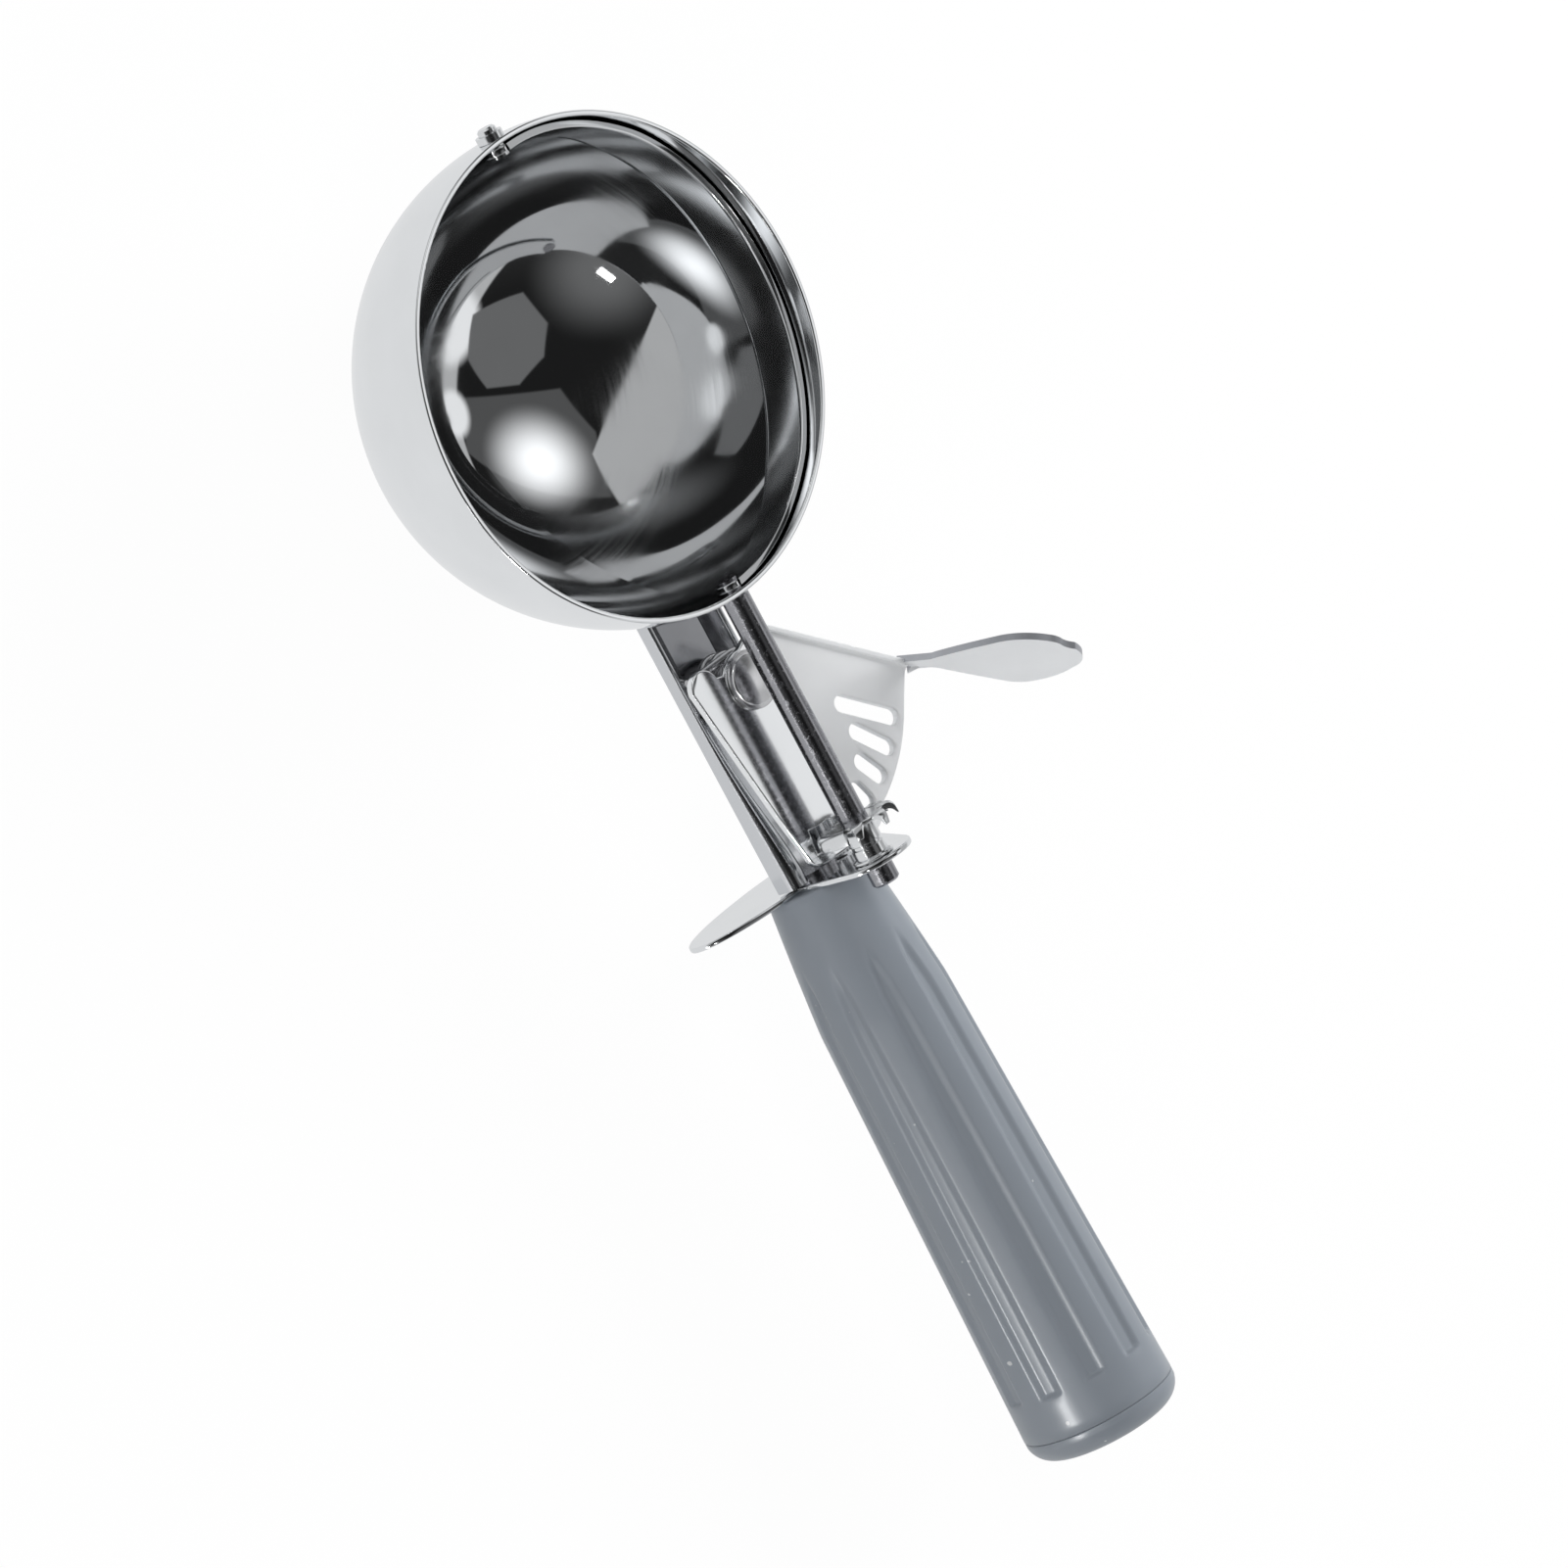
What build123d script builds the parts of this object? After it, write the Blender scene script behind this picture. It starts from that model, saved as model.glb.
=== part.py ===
"""Ice cream scoop with a thumb lever, in mm.

Datum: the middle of the handle's flat butt. +X leaves the butt along the handle's axis,
+Y points to the thumb pad's side and +Z leaves the bowl's opening.
"""
import math
import os

from build123d import *

os.makedirs("parts", exist_ok=True)

# Bowl, and the places that follow from it
BOWL_X = -164.8
BOWL_R = 35.5
SHAFT_Z = 13.0
PIVOT_FROM_BOWL = 12.0
PIVOT_X = BOWL_X + BOWL_R + PIVOT_FROM_BOWL
SHEET = 0.8
BOWL_IN_R = BOWL_R - SHEET
RIM_H = 2.0
RIM_ROUND = 0.25
RIM_Z = SHAFT_Z + RIM_H

# Scraper blade, its pin and the shaft that turns it
BLADE_GAP = 0.3
BLADE_T = 1.0
BLADE_W = 7.0
BLADE_REST_DEG = 9.0
BLADE_TAPER_X = 25.0
BLADE_OUT_R = BOWL_IN_R - BLADE_GAP
BLADE_IN_R = BLADE_OUT_R - BLADE_T
EYE_R = 1.9
EYE_OUT_X = BLADE_OUT_R - 0.05
EYE_IN_X = EYE_OUT_X - BLADE_T
TENON_R = 1.0
TENON_HEAD_R = 1.5
TENON_HEAD_T = 0.45
PIN_R = 1.35
RUN_CLEARANCE = 0.04
BUSH_R = 1.7
BUSH_COLLAR_R = 1.95
BUSH_COLLAR_T = 1.0
BUSH_COLLAR_REACH = BOWL_R + BUSH_COLLAR_T
PIN_STANDS = 0.9
PIN_REACH = BUSH_COLLAR_REACH + PIN_STANDS
SHAFT_R = 2.0
JOURNAL_R = 1.5
SHAFT_SHOULDER = BOWL_R + 0.15
END_CHAMFER = 0.3

# Lever's reach from the pivot, and the guard just past it
LEVER_R = 27.2
GUARD_X = PIVOT_X + LEVER_R + 1.8
GUARD_T = 0.8

# Pinion: bent prongs on a disc, with a blank stretch that waits in the lever's window
PITCHES = 8
TOOTH_STEP = 360 / PITCHES
TEETH = 6
SLOT_STEP = 10.2
FIRST_SLOT_DEG = -1.0
FIRST_TOOTH_DEG = FIRST_SLOT_DEG * TOOTH_STEP / SLOT_STEP - 90
PINION_X = PIVOT_X + LEVER_R - 4.3
PINION_T = 0.9
PINION_DISC_R = 4.5
TOOTH_ROOT_R = 4.2
TOOTH_ROOT_HALF = 1.4
TOOTH_TIP_R = 6.35
TOOTH_TIP_HALF = 0.6
HOOK_IN_R = 5.5
HOOK_LENGTH = 1.1
BLANK_R = 6.1
BLANK_EDGE = 22.0

# Lever: one flat sheet with slots, a turned-up flange and a dished thumb pad
LEVER_T = 1.2
LEVER_TOP = SHAFT_Z - 5.4
LEVER_Z = LEVER_TOP - LEVER_T
ARC_START_DEG = -9.0
ARC_END_DEG = 50.0
SLOTS = 5
SLOT_W = 2.4
SLOT_OUT_R = LEVER_R - 1.2
SLOT_IN_R = SLOT_OUT_R - 4.1
SLOT_GROWTH = 0.44
WINDOW_IN_R = SLOT_OUT_R - 3.8
WINDOW_OUT_R = SLOT_OUT_R - 0.4
WINDOW_START_DEG = -8.9
WINDOW_END_DEG = 2.2
PAD_CORNER = Vector(11.1, 25.8)
FLANGE_START = Vector(-6.2, 4.75)
FLANGE_T = 1.0
FLANGE_H = 1.0
PAD_T = 1.0
PAD_DISH_R = 70.0
PAD_MID_U = 8.0
PAD_MID_V = 8.0
PAD_ROOT_U = -1.0
PAD_ROOT_V = -5.0

# Pivot stack, from the channel's floor up
RIVET_R = 1.8
RIVET_HEAD_R = 3.7
RIVET_HEAD_T = 0.65
RIVET_FOOT_R = 3.2
RIVET_FOOT_T = 0.8
WASHER_T = 0.5
WASHER_R = 4.2
LOWER_WASHER_R = 3.5
POST_R = 3.0
PLAY = 0.03

# Shank channel
FLOOR_TOP = SHAFT_Z - 13.6
CHANNEL_T = 0.9
FLOOR_Z = FLOOR_TOP - CHANNEL_T
CHANNEL_HALF = 6.7
WALL_TOP = SHAFT_Z - 11.5
RAIL_R = 1.9
RAIL_BORE_R = 0.85
RAIL_Z = SHAFT_Z - 11.95
RAIL_START = GUARD_X - 2.5
RAIL_TIP = PIVOT_X - 0.5
RAIL_END = GUARD_X - 0.3
SADDLE_T = 0.9
SADDLE_DROP = 3.0
SADDLE_CORNER_R = 1.5

# Finger guard
OVAL_HALF_Y = 19.4
OVAL_HALF_Z = 7.8
OVAL_Z = SHAFT_Z - 19.5
TONGUE_LEFT = -4.9
TONGUE_TOP = 4.3
GUARD_BUSH_R = 2.4
GUARD_BUSH_START = PINION_X + PINION_T + 0.15
GUARD_BUSH_END = GUARD_X + GUARD_T + 0.4
SHAFT_END = GUARD_BUSH_END + 2.7

# Return spring: a torsion coil around the post
WIRE_R = 0.55
WIRE_ROOM = 0.1
COIL_R = 4.3
COIL_TURNS = 2.75
COIL_START_DEG = 270.0
LOWER_LEG = 2.5
UPPER_LEG = 8.6

# Handle
TANG_R = 3.0
TANG_HEAD_R = 3.6
TANG_HEAD_T = 0.9
GRIP_START = GUARD_X + GUARD_T
GRIP_NECK_X = GRIP_START + 19.7
GRIP_NECK_R = 9.7
NECK_BEND = Vector(GRIP_START + 9.2, 8.65)
GRIP_START_R = 7.6
GRIP_END_X = -3.8
GRIP_END_R = 11.4
BUTT_FLAT_R = 8.0
BUTT_BEND = Vector(-1.15, 10.35)
RECESS_R = 5.6
RECESS_X = GRIP_END_X - 8.0
TANG_WASHER_R = 5.4
TANG_WASHER_T = 1.0
NUT_FLATS = 8.0
NUT_T = 4.0
THREAD_R = 2.5
THREAD_STANDS = 0.4
PLUG_DEPTH = 2.3
FLUTES = 10
FLUTE_R = 1.7
FLUTE_START = GRIP_START + 12.7
FLUTE_END = GRIP_END_X - 6.0
FLUTE_START_R = 9.35
FLUTE_END_R = 10.45
FLUTE_TURN_DEG = 13.0


def export(part, name):
    """Label one sub-part and write its STEP file."""
    part.label = name
    export_step(part, f"parts/{name}.step")


def rod(radius, start, end, z=SHAFT_Z, mode=Mode.ADD):
    """A round bar along X between two X places, in the open part."""
    middle = ((start + end) / 2, 0, z)
    with Locations(middle):
        Cylinder(radius, abs(end - start), rotation=(0, 90, 0), mode=mode)


def ball(radius):
    """A solid ball on the bowl's centre, for trimming."""
    return Pos(BOWL_X, 0, SHAFT_Z) * Sphere(radius, mode=Mode.PRIVATE)


def bowl():
    """Half sphere with a short straight band up to the rim."""
    with BuildPart() as part:
        with BuildSketch(Plane((BOWL_X, 0, SHAFT_Z), x_dir=(1, 0, 0), z_dir=(0, -1, 0))):
            with BuildLine():
                RadiusArc((0, -BOWL_R), (BOWL_R, 0), -BOWL_R)
                Line((BOWL_R, 0), (BOWL_R, RIM_H))
                Line((BOWL_R, RIM_H), (BOWL_IN_R, RIM_H))
                Line((BOWL_IN_R, RIM_H), (BOWL_IN_R, 0))
                RadiusArc((BOWL_IN_R, 0), (0, -BOWL_IN_R), BOWL_IN_R)
                Line((0, -BOWL_IN_R), (0, -BOWL_R))
            make_face()
        revolve(axis=Axis((BOWL_X, 0, 0), (0, 0, 1)))
        fillet(part.edges().group_by(Axis.Z)[-1], RIM_ROUND)
        rod(BUSH_R, BOWL_X - BOWL_R - 1, BOWL_X - BOWL_IN_R + 1, mode=Mode.SUBTRACT)
        rod(JOURNAL_R + RUN_CLEARANCE, BOWL_X + BOWL_IN_R - 1, BOWL_X + BOWL_R + 1, mode=Mode.SUBTRACT)
    return part.part


def bowl_saddle():
    """Curved doubler brazed between the bowl's back and the shank channel."""
    low = FLOOR_Z - SADDLE_DROP
    with BuildPart() as part:
        with BuildSketch(Plane.YZ.offset(BOWL_X + BOWL_R / 2)):
            with Locations((0, (low + WALL_TOP) / 2)):
                RectangleRounded(2 * CHANNEL_HALF, WALL_TOP - low, SADDLE_CORNER_R)
        extrude(amount=BOWL_R)
        add(ball(BOWL_R + SADDLE_T), mode=Mode.INTERSECT)
        add(ball(BOWL_R), mode=Mode.SUBTRACT)
    return part.part


def front_bushing():
    """Collared bush in the bowl's front wall for the scraper's pin."""
    with BuildPart() as part:
        rod(BUSH_R, BOWL_X - BUSH_COLLAR_REACH, BOWL_X - BOWL_IN_R)
        rod(BUSH_COLLAR_R, BOWL_X - BUSH_COLLAR_REACH, BOWL_X - BOWL_R)
        rod(PIN_R + RUN_CLEARANCE, BOWL_X - BUSH_COLLAR_REACH, BOWL_X - BOWL_IN_R, mode=Mode.SUBTRACT)
    return part.part


def blade_plane():
    """Sketch plane whose normal points from the shaft axis to the resting blade's middle."""
    rest = math.radians(BLADE_REST_DEG)
    return Plane((BOWL_X, 0, SHAFT_Z), x_dir=(1, 0, 0), z_dir=(0, math.cos(rest), -math.sin(rest)))


def scraper_blade():
    """Half ring of strip that follows the bowl, with a flat eye at each end."""
    half = BLADE_W / 2
    with BuildPart() as part:
        with BuildSketch(blade_plane()):
            with BuildLine():
                for side in (1, -1):
                    Line((-BLADE_TAPER_X, side * half), (BLADE_TAPER_X, side * half))
                    for end in (1, -1):
                        Line((end * BLADE_TAPER_X, side * half), (end * BOWL_R, side * EYE_R))
                for end in (1, -1):
                    Line((end * BOWL_R, EYE_R), (end * BOWL_R, -EYE_R))
            make_face()
        extrude(amount=BOWL_R)
        add(ball(BLADE_OUT_R), mode=Mode.INTERSECT)
        add(ball(BLADE_IN_R), mode=Mode.SUBTRACT)
        for end in (1, -1):
            rod(EYE_R, BOWL_X + end * EYE_IN_X, BOWL_X + end * EYE_OUT_X)
            rod(TENON_R, BOWL_X + end * (EYE_IN_X - 2), BOWL_X + end * BOWL_R, mode=Mode.SUBTRACT)
            rod(EYE_R, BOWL_X + end * EYE_OUT_X, BOWL_X + end * BOWL_R, mode=Mode.SUBTRACT)
    return part.part


def scraper_pin():
    """Front pin: journal in the bush, tenon and peened head in the blade's front eye."""
    with BuildPart() as part:
        rod(PIN_R, BOWL_X - PIN_REACH, BOWL_X - EYE_OUT_X)
        chamfer(part.edges().group_by(Axis.X)[0], END_CHAMFER)
        rod(TENON_R, BOWL_X - EYE_OUT_X, BOWL_X - EYE_IN_X)
        rod(TENON_HEAD_R, BOWL_X - EYE_IN_X, BOWL_X - EYE_IN_X + TENON_HEAD_T)
    return part.part


def scraper_shaft():
    """Shaft from the blade's rear eye, through the bowl's back, to beyond the guard."""
    with BuildPart() as part:
        rod(SHAFT_R, BOWL_X + SHAFT_SHOULDER, SHAFT_END)
        chamfer(part.edges().group_by(Axis.X)[-1], END_CHAMFER)
        rod(JOURNAL_R, BOWL_X + EYE_OUT_X, BOWL_X + SHAFT_SHOULDER)
        rod(TENON_R, BOWL_X + EYE_IN_X, BOWL_X + EYE_OUT_X)
        rod(TENON_HEAD_R, BOWL_X + EYE_IN_X - TENON_HEAD_T, BOWL_X + EYE_IN_X)
    return part.part


def guard_bushing():
    """Long bush in the guard's tongue that carries the shaft's rear end."""
    with BuildPart() as part:
        rod(GUARD_BUSH_R, GUARD_BUSH_START, GUARD_BUSH_END)
        rod(SHAFT_R + RUN_CLEARANCE, GUARD_BUSH_START, GUARD_BUSH_END, mode=Mode.SUBTRACT)
    return part.part


def tooth_places():
    """Rotated places of the pinion's teeth round the shaft, in a sketch on Plane.YZ."""
    return PolarLocations(0, TEETH, start_angle=FIRST_TOOTH_DEG, angular_range=TEETH * TOOTH_STEP)


def tooth(inner):
    """One tapering prong's outline from an inner radius to the tip."""
    taper = (TOOTH_ROOT_HALF - TOOTH_TIP_HALF) / (TOOTH_TIP_R - TOOTH_ROOT_R)
    half = TOOTH_TIP_HALF + taper * (TOOTH_TIP_R - inner)
    Polygon((inner, -half), (TOOTH_TIP_R, -TOOTH_TIP_HALF), (TOOTH_TIP_R, TOOTH_TIP_HALF), (inner, half), align=None)


def blank_band(inner):
    """Outline of the smooth stretch between the last tooth and the first."""
    start = FIRST_TOOTH_DEG + (TEETH - 1) * TOOTH_STEP + BLANK_EDGE
    sweep = (PITCHES - TEETH + 1) * TOOTH_STEP - 2 * BLANK_EDGE
    with BuildSketch() as band:
        with BuildLine():
            outer = CenterArc((0, 0), BLANK_R, start, sweep)
            core = CenterArc((0, 0), inner, start, sweep)
            Line(outer @ 0, core @ 0)
            Line(outer @ 1, core @ 1)
        make_face()
    return band.sketch


def pinion():
    """Pinion disc with six bent prongs and a blank stretch."""
    on_shaft = Plane((PINION_X, 0, SHAFT_Z), x_dir=(0, 1, 0), z_dir=(1, 0, 0))
    root_band = blank_band(TOOTH_ROOT_R)
    hook_band = blank_band(HOOK_IN_R)
    with BuildPart() as part:
        with BuildSketch(on_shaft):
            Circle(PINION_DISC_R)
            add(root_band)
            with tooth_places():
                tooth(TOOTH_ROOT_R)
        extrude(amount=PINION_T)
        with BuildSketch(on_shaft.offset(PINION_T)):
            add(hook_band)
            with tooth_places():
                tooth(HOOK_IN_R)
        extrude(amount=HOOK_LENGTH)
        rod(SHAFT_R, PINION_X - 1, PINION_X + PINION_T + 1, mode=Mode.SUBTRACT)
    return part.part


def lever_outline():
    """The flat sheet's outline round the pivot."""
    with BuildSketch() as sheet:
        with BuildLine():
            rim = CenterArc((0, 0), LEVER_R, ARC_START_DEG, ARC_END_DEG - ARC_START_DEG)
            Line(rim @ 1, PAD_CORNER)
            Line(PAD_CORNER, FLANGE_START)
            hub = Line(FLANGE_START, (-4.4, 0.6))
            under = ThreePointArc(hub @ 1, (-4.0, -1.9), (-2.7, -3.9))
            notch = Line(under @ 1, (-3.0, -5.0))
            tip = ThreePointArc(notch @ 1, (-5.2, -7.9), (-2.9, -10.2))
            edge = Line(tip @ 1, (LEVER_R - 9.2, -7.1))
            foot = Line(edge @ 1, (LEVER_R - 2.2, -5.8))
            ThreePointArc(foot @ 1, (LEVER_R - 1.0, -5.3), rim @ 0)
        make_face()
    return sheet.sketch


def lever_slots():
    """Five slots that the pinion's prongs run in, longer towards the pad."""
    for index in range(SLOTS):
        inner = SLOT_IN_R - SLOT_GROWTH * index ** 2
        middle = (inner + SLOT_OUT_R) / 2
        with Locations(Rot(0, 0, FIRST_SLOT_DEG + SLOT_STEP * (index + 1)) * Pos(middle, 0)):
            SlotOverall(SLOT_OUT_R - inner, SLOT_W, mode=Mode.SUBTRACT)


def lever_window():
    """Opening near the edge for the pinion's first prong and its blank stretch at rest."""
    sweep = WINDOW_END_DEG - WINDOW_START_DEG
    with BuildSketch() as opening:
        with BuildLine():
            outer = CenterArc((0, 0), WINDOW_OUT_R, WINDOW_START_DEG, sweep)
            inner = CenterArc((0, 0), WINDOW_IN_R, WINDOW_START_DEG, sweep)
            Line(outer @ 0, inner @ 0)
            Line(outer @ 1, inner @ 1)
        make_face()
    return opening.sketch


def pad_outline():
    """Leaf outline of the thumb pad: u runs on past the corner, v rises from the shaft's height."""
    with BuildSketch() as leaf:
        with BuildLine():
            root = Line((-0.9, -6.6), (-0.9, 1.0))
            left = ThreePointArc(root @ 1, (-1.3, 7.8), (-0.4, 14.6))
            shoulder = ThreePointArc(left @ 1, (1.3, 18.0), (4.4, 19.9))
            top = ThreePointArc(shoulder @ 1, (11.2, 18.8), (14.4, 13.2))
            side = ThreePointArc(top @ 1, (15.3, 8.2), (15.2, 3.4))
            heel = ThreePointArc(side @ 1, (14.4, 1.6), (12.5, 0.9))
            lower = ThreePointArc(heel @ 1, (7.0, 0.1), (2.6, -1.5))
            neck = ThreePointArc(lower @ 1, (1.5, -3.3), (1.1, -6.6))
            Line(neck @ 1, root @ 0)
        make_face()
    return leaf.sketch


def pad_plane():
    """Plane of the flange: local x along the top edge, local y up, normal to the handle's side."""
    run = (PAD_CORNER - FLANGE_START).normalized()
    return Plane((PIVOT_X + PAD_CORNER.X, PAD_CORNER.Y, SHAFT_Z), x_dir=(run.X, run.Y, 0), z_dir=(run.Y, -run.X, 0))


def thumb_pad():
    """Dished pad, hollow on the bowl's side, as a slice of a thin ball."""
    plane = pad_plane()
    reach = math.hypot(PAD_ROOT_U - PAD_MID_U, PAD_ROOT_V - PAD_MID_V)
    depth = math.sqrt(PAD_DISH_R ** 2 - reach ** 2)
    centre = plane.from_local_coords(Vector(PAD_MID_U, PAD_MID_V, -depth))
    leaf = pad_outline()
    with BuildPart() as part:
        with BuildSketch(plane):
            add(leaf)
        extrude(amount=8, both=True)
        add(Pos(*centre) * Sphere(PAD_DISH_R, mode=Mode.PRIVATE), mode=Mode.INTERSECT)
        add(Pos(*centre) * Sphere(PAD_DISH_R - PAD_T, mode=Mode.PRIVATE), mode=Mode.SUBTRACT)
    return part.part


def thumb_lever():
    """Slotted sheet, turned-up flange and thumb pad in one piece."""
    run = PAD_CORNER - FLANGE_START
    pad = thumb_pad()
    sheet = lever_outline()
    window = lever_window()
    with BuildPart() as part:
        with BuildSketch(Plane((PIVOT_X, 0, LEVER_Z))):
            add(sheet)
            lever_slots()
            add(window, mode=Mode.SUBTRACT)
            Circle(RIVET_R + RUN_CLEARANCE, mode=Mode.SUBTRACT)
        extrude(amount=LEVER_T)
        with BuildSketch(pad_plane()):
            with Locations((-run.length / 2 + 1, LEVER_Z - SHAFT_Z + (LEVER_T + FLANGE_H) / 2)):
                Rectangle(run.length - 4, LEVER_T + FLANGE_H)
        extrude(amount=FLANGE_T)
        add(pad)
    return part.part


def pivot_disc(radius, bottom, height, hole):
    """A round piece on the pivot's axis with a hole for the rivet."""
    with BuildPart() as part:
        with BuildSketch(Plane((PIVOT_X, 0, bottom))):
            Circle(radius)
            Circle(hole, mode=Mode.SUBTRACT)
        extrude(amount=height)
    return part.part


def pivot_rivet():
    """Rivet that holds the lever: foot under the floor, shank and flat head."""
    head = LEVER_TOP + PLAY + WASHER_T
    with BuildPart() as part:
        with BuildSketch(Plane((PIVOT_X, 0, FLOOR_Z - RIVET_FOOT_T))):
            Circle(RIVET_FOOT_R)
        extrude(amount=RIVET_FOOT_T)
        with BuildSketch(Plane((PIVOT_X, 0, FLOOR_Z))):
            Circle(RIVET_R)
        extrude(amount=head - FLOOR_Z)
        with BuildSketch(Plane((PIVOT_X, 0, head))):
            Circle(RIVET_HEAD_R)
        extrude(amount=RIVET_HEAD_T)
        chamfer(part.edges().group_by(Axis.Z)[-1], END_CHAMFER / 2)
    return part.part


def rail(side):
    """Wall rolled inward to a tube that widens all the way from the pivot to the guard."""
    middle = side * (CHANNEL_HALF - RAIL_R)
    with BuildPart() as part:
        with BuildSketch(Plane.YZ.offset(RAIL_START)):
            with Locations((middle, RAIL_Z)):
                Circle(RAIL_R)
        extrude(amount=RAIL_END - RAIL_START)
        with BuildSketch(Plane.YZ.offset(RAIL_START)):
            with Locations((middle, RAIL_Z)):
                Circle(RAIL_R)
        with BuildSketch(Plane.YZ.offset(RAIL_TIP)):
            with Locations((side * (CHANNEL_HALF - CHANNEL_T / 2), RAIL_Z)):
                Circle(CHANNEL_T / 2)
        loft()
        with BuildSketch(Plane.YZ.offset(RAIL_START)):
            with Locations((middle, RAIL_Z)):
                Circle(RAIL_BORE_R)
        extrude(amount=RAIL_END - RAIL_START, mode=Mode.SUBTRACT)
    return part.part


def shank_channel():
    """Open tray from the bowl to the guard with rolled walls."""
    length = GUARD_X - BOWL_X
    rails = [rail(side) for side in (1, -1)]
    with BuildPart() as part:
        with BuildSketch(Plane.YZ.offset(BOWL_X)):
            with BuildLine():
                Line((-CHANNEL_HALF, WALL_TOP), (-CHANNEL_HALF, FLOOR_Z))
                Line((-CHANNEL_HALF, FLOOR_Z), (CHANNEL_HALF, FLOOR_Z))
                Line((CHANNEL_HALF, FLOOR_Z), (CHANNEL_HALF, WALL_TOP))
                Line((CHANNEL_HALF, WALL_TOP), (CHANNEL_HALF - CHANNEL_T, WALL_TOP))
                Line((CHANNEL_HALF - CHANNEL_T, WALL_TOP), (CHANNEL_HALF - CHANNEL_T, FLOOR_TOP))
                Line((CHANNEL_HALF - CHANNEL_T, FLOOR_TOP), (-CHANNEL_HALF + CHANNEL_T, FLOOR_TOP))
                Line((-CHANNEL_HALF + CHANNEL_T, FLOOR_TOP), (-CHANNEL_HALF + CHANNEL_T, WALL_TOP))
                Line((-CHANNEL_HALF + CHANNEL_T, WALL_TOP), (-CHANNEL_HALF, WALL_TOP))
            make_face()
        extrude(amount=length)
        for tube in rails:
            add(tube)
        add(ball(BOWL_R + SADDLE_T), mode=Mode.SUBTRACT)
        rod(TANG_HEAD_R, GUARD_X - TANG_HEAD_T, GUARD_X, z=0, mode=Mode.SUBTRACT)
        with BuildSketch(Plane((PIVOT_X, 0, FLOOR_Z))):
            Circle(RIVET_R)
        extrude(amount=CHANNEL_T, mode=Mode.SUBTRACT)
    return part.part


def guard_tongue():
    """Outline of the guard's tongue round the shaft, wider on the pad's side."""
    foot = OVAL_Z - SHAFT_Z
    with BuildSketch() as tongue:
        with BuildLine():
            left = Line((TONGUE_LEFT, foot), (TONGUE_LEFT, 0.3))
            top = ThreePointArc(left @ 1, (0.6, TONGUE_TOP), (6.5, 0.6))
            right = Line(top @ 1, (11.0, -10.0))
            down = Line(right @ 1, (12.5, foot))
            Line(down @ 1, left @ 0)
        make_face()
    return tongue.sketch


def finger_guard():
    """Oval guard plate with a tongue that rises to the shaft."""
    tongue = guard_tongue()
    with BuildPart() as part:
        with BuildSketch(Plane.YZ.offset(GUARD_X)):
            with Locations((0, OVAL_Z)):
                Ellipse(OVAL_HALF_Y, OVAL_HALF_Z)
            with Locations((0, SHAFT_Z)):
                add(tongue)
                Circle(GUARD_BUSH_R, mode=Mode.SUBTRACT)
            Circle(TANG_R, mode=Mode.SUBTRACT)
        extrude(amount=GUARD_T)
    return part.part


def coil_point(turns):
    """A point on the spring's centre line after some turns from its lower end."""
    angle = math.radians(COIL_START_DEG + 360 * turns)
    low = FLOOR_TOP + WIRE_R + PLAY
    high = LEVER_Z - WIRE_R - WIRE_ROOM
    height = low + (high - low) * turns / COIL_TURNS
    return Vector(PIVOT_X + COIL_R * math.cos(angle), COIL_R * math.sin(angle), height)


def coil_tangent(turns):
    """Unit direction of the spring's centre line after some turns, level where the legs leave."""
    direction = coil_point(turns + 1e-4) - coil_point(turns - 1e-4)
    if turns in (0, COIL_TURNS):
        direction = Vector(direction.X, direction.Y, 0)
    return direction.normalized()


def biarc(start, end, leave, arrive):
    """Two arcs that join two points with given directions."""
    chord = end - start
    both = leave + arrive
    bend = 2 * (1 - leave.dot(arrive))
    reach = (math.sqrt(chord.dot(both) ** 2 + bend * chord.dot(chord)) - chord.dot(both)) / bend
    middle = (start + end) * 0.5 + (leave - arrive) * (reach / 2)
    first = TangentArc(start, middle, tangent=leave)
    TangentArc(middle, end, tangent=first % 1)


def return_spring():
    """One unbroken wire: lower leg to the wall, coil round the post and upper leg under the lever."""
    start = coil_point(0)
    finish = coil_point(COIL_TURNS)
    back = coil_tangent(0) * -1
    bend_r = CHANNEL_HALF - CHANNEL_T - COIL_R - PLAY
    elbow = start + back * LOWER_LEG
    with BuildPart() as part:
        with BuildLine() as path:
            TangentArc(elbow, elbow + Vector(-bend_r, -bend_r, 0), tangent=back)
            Line(elbow, start)
            quarters = int(COIL_TURNS * 4)
            for quarter in range(quarters):
                begin = quarter / 4
                stop = begin + 1 / 4
                biarc(coil_point(begin), coil_point(stop), coil_tangent(begin), coil_tangent(stop))
            Line(finish, finish + coil_tangent(COIL_TURNS) * UPPER_LEG)
        wire = path.wires()[0]
        with BuildSketch(Plane(wire @ 0, z_dir=wire % 0)):
            Circle(WIRE_R)
        sweep(path=wire)
    return part.part


def coil_gap():
    """Least free space between the coil's turns, measured on points."""
    steps = [index / 72 for index in range(int(COIL_TURNS * 72) + 1)]
    points = [coil_point(step) for step in steps]
    least = min((a - b).length for i, a in enumerate(points) for b in points[i + 40:])
    return least - 2 * WIRE_R


def handle_tang():
    """Round bar through the grip: riveted head before the guard, thread at the rear."""
    thread_start = RECESS_X + TANG_WASHER_T
    with BuildPart() as part:
        rod(TANG_HEAD_R, GUARD_X - TANG_HEAD_T, GUARD_X, z=0)
        rod(TANG_R, GUARD_X, RECESS_X, z=0)
        rod(THREAD_R, RECESS_X, thread_start + NUT_T + THREAD_STANDS, z=0)
    return part.part


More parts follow.
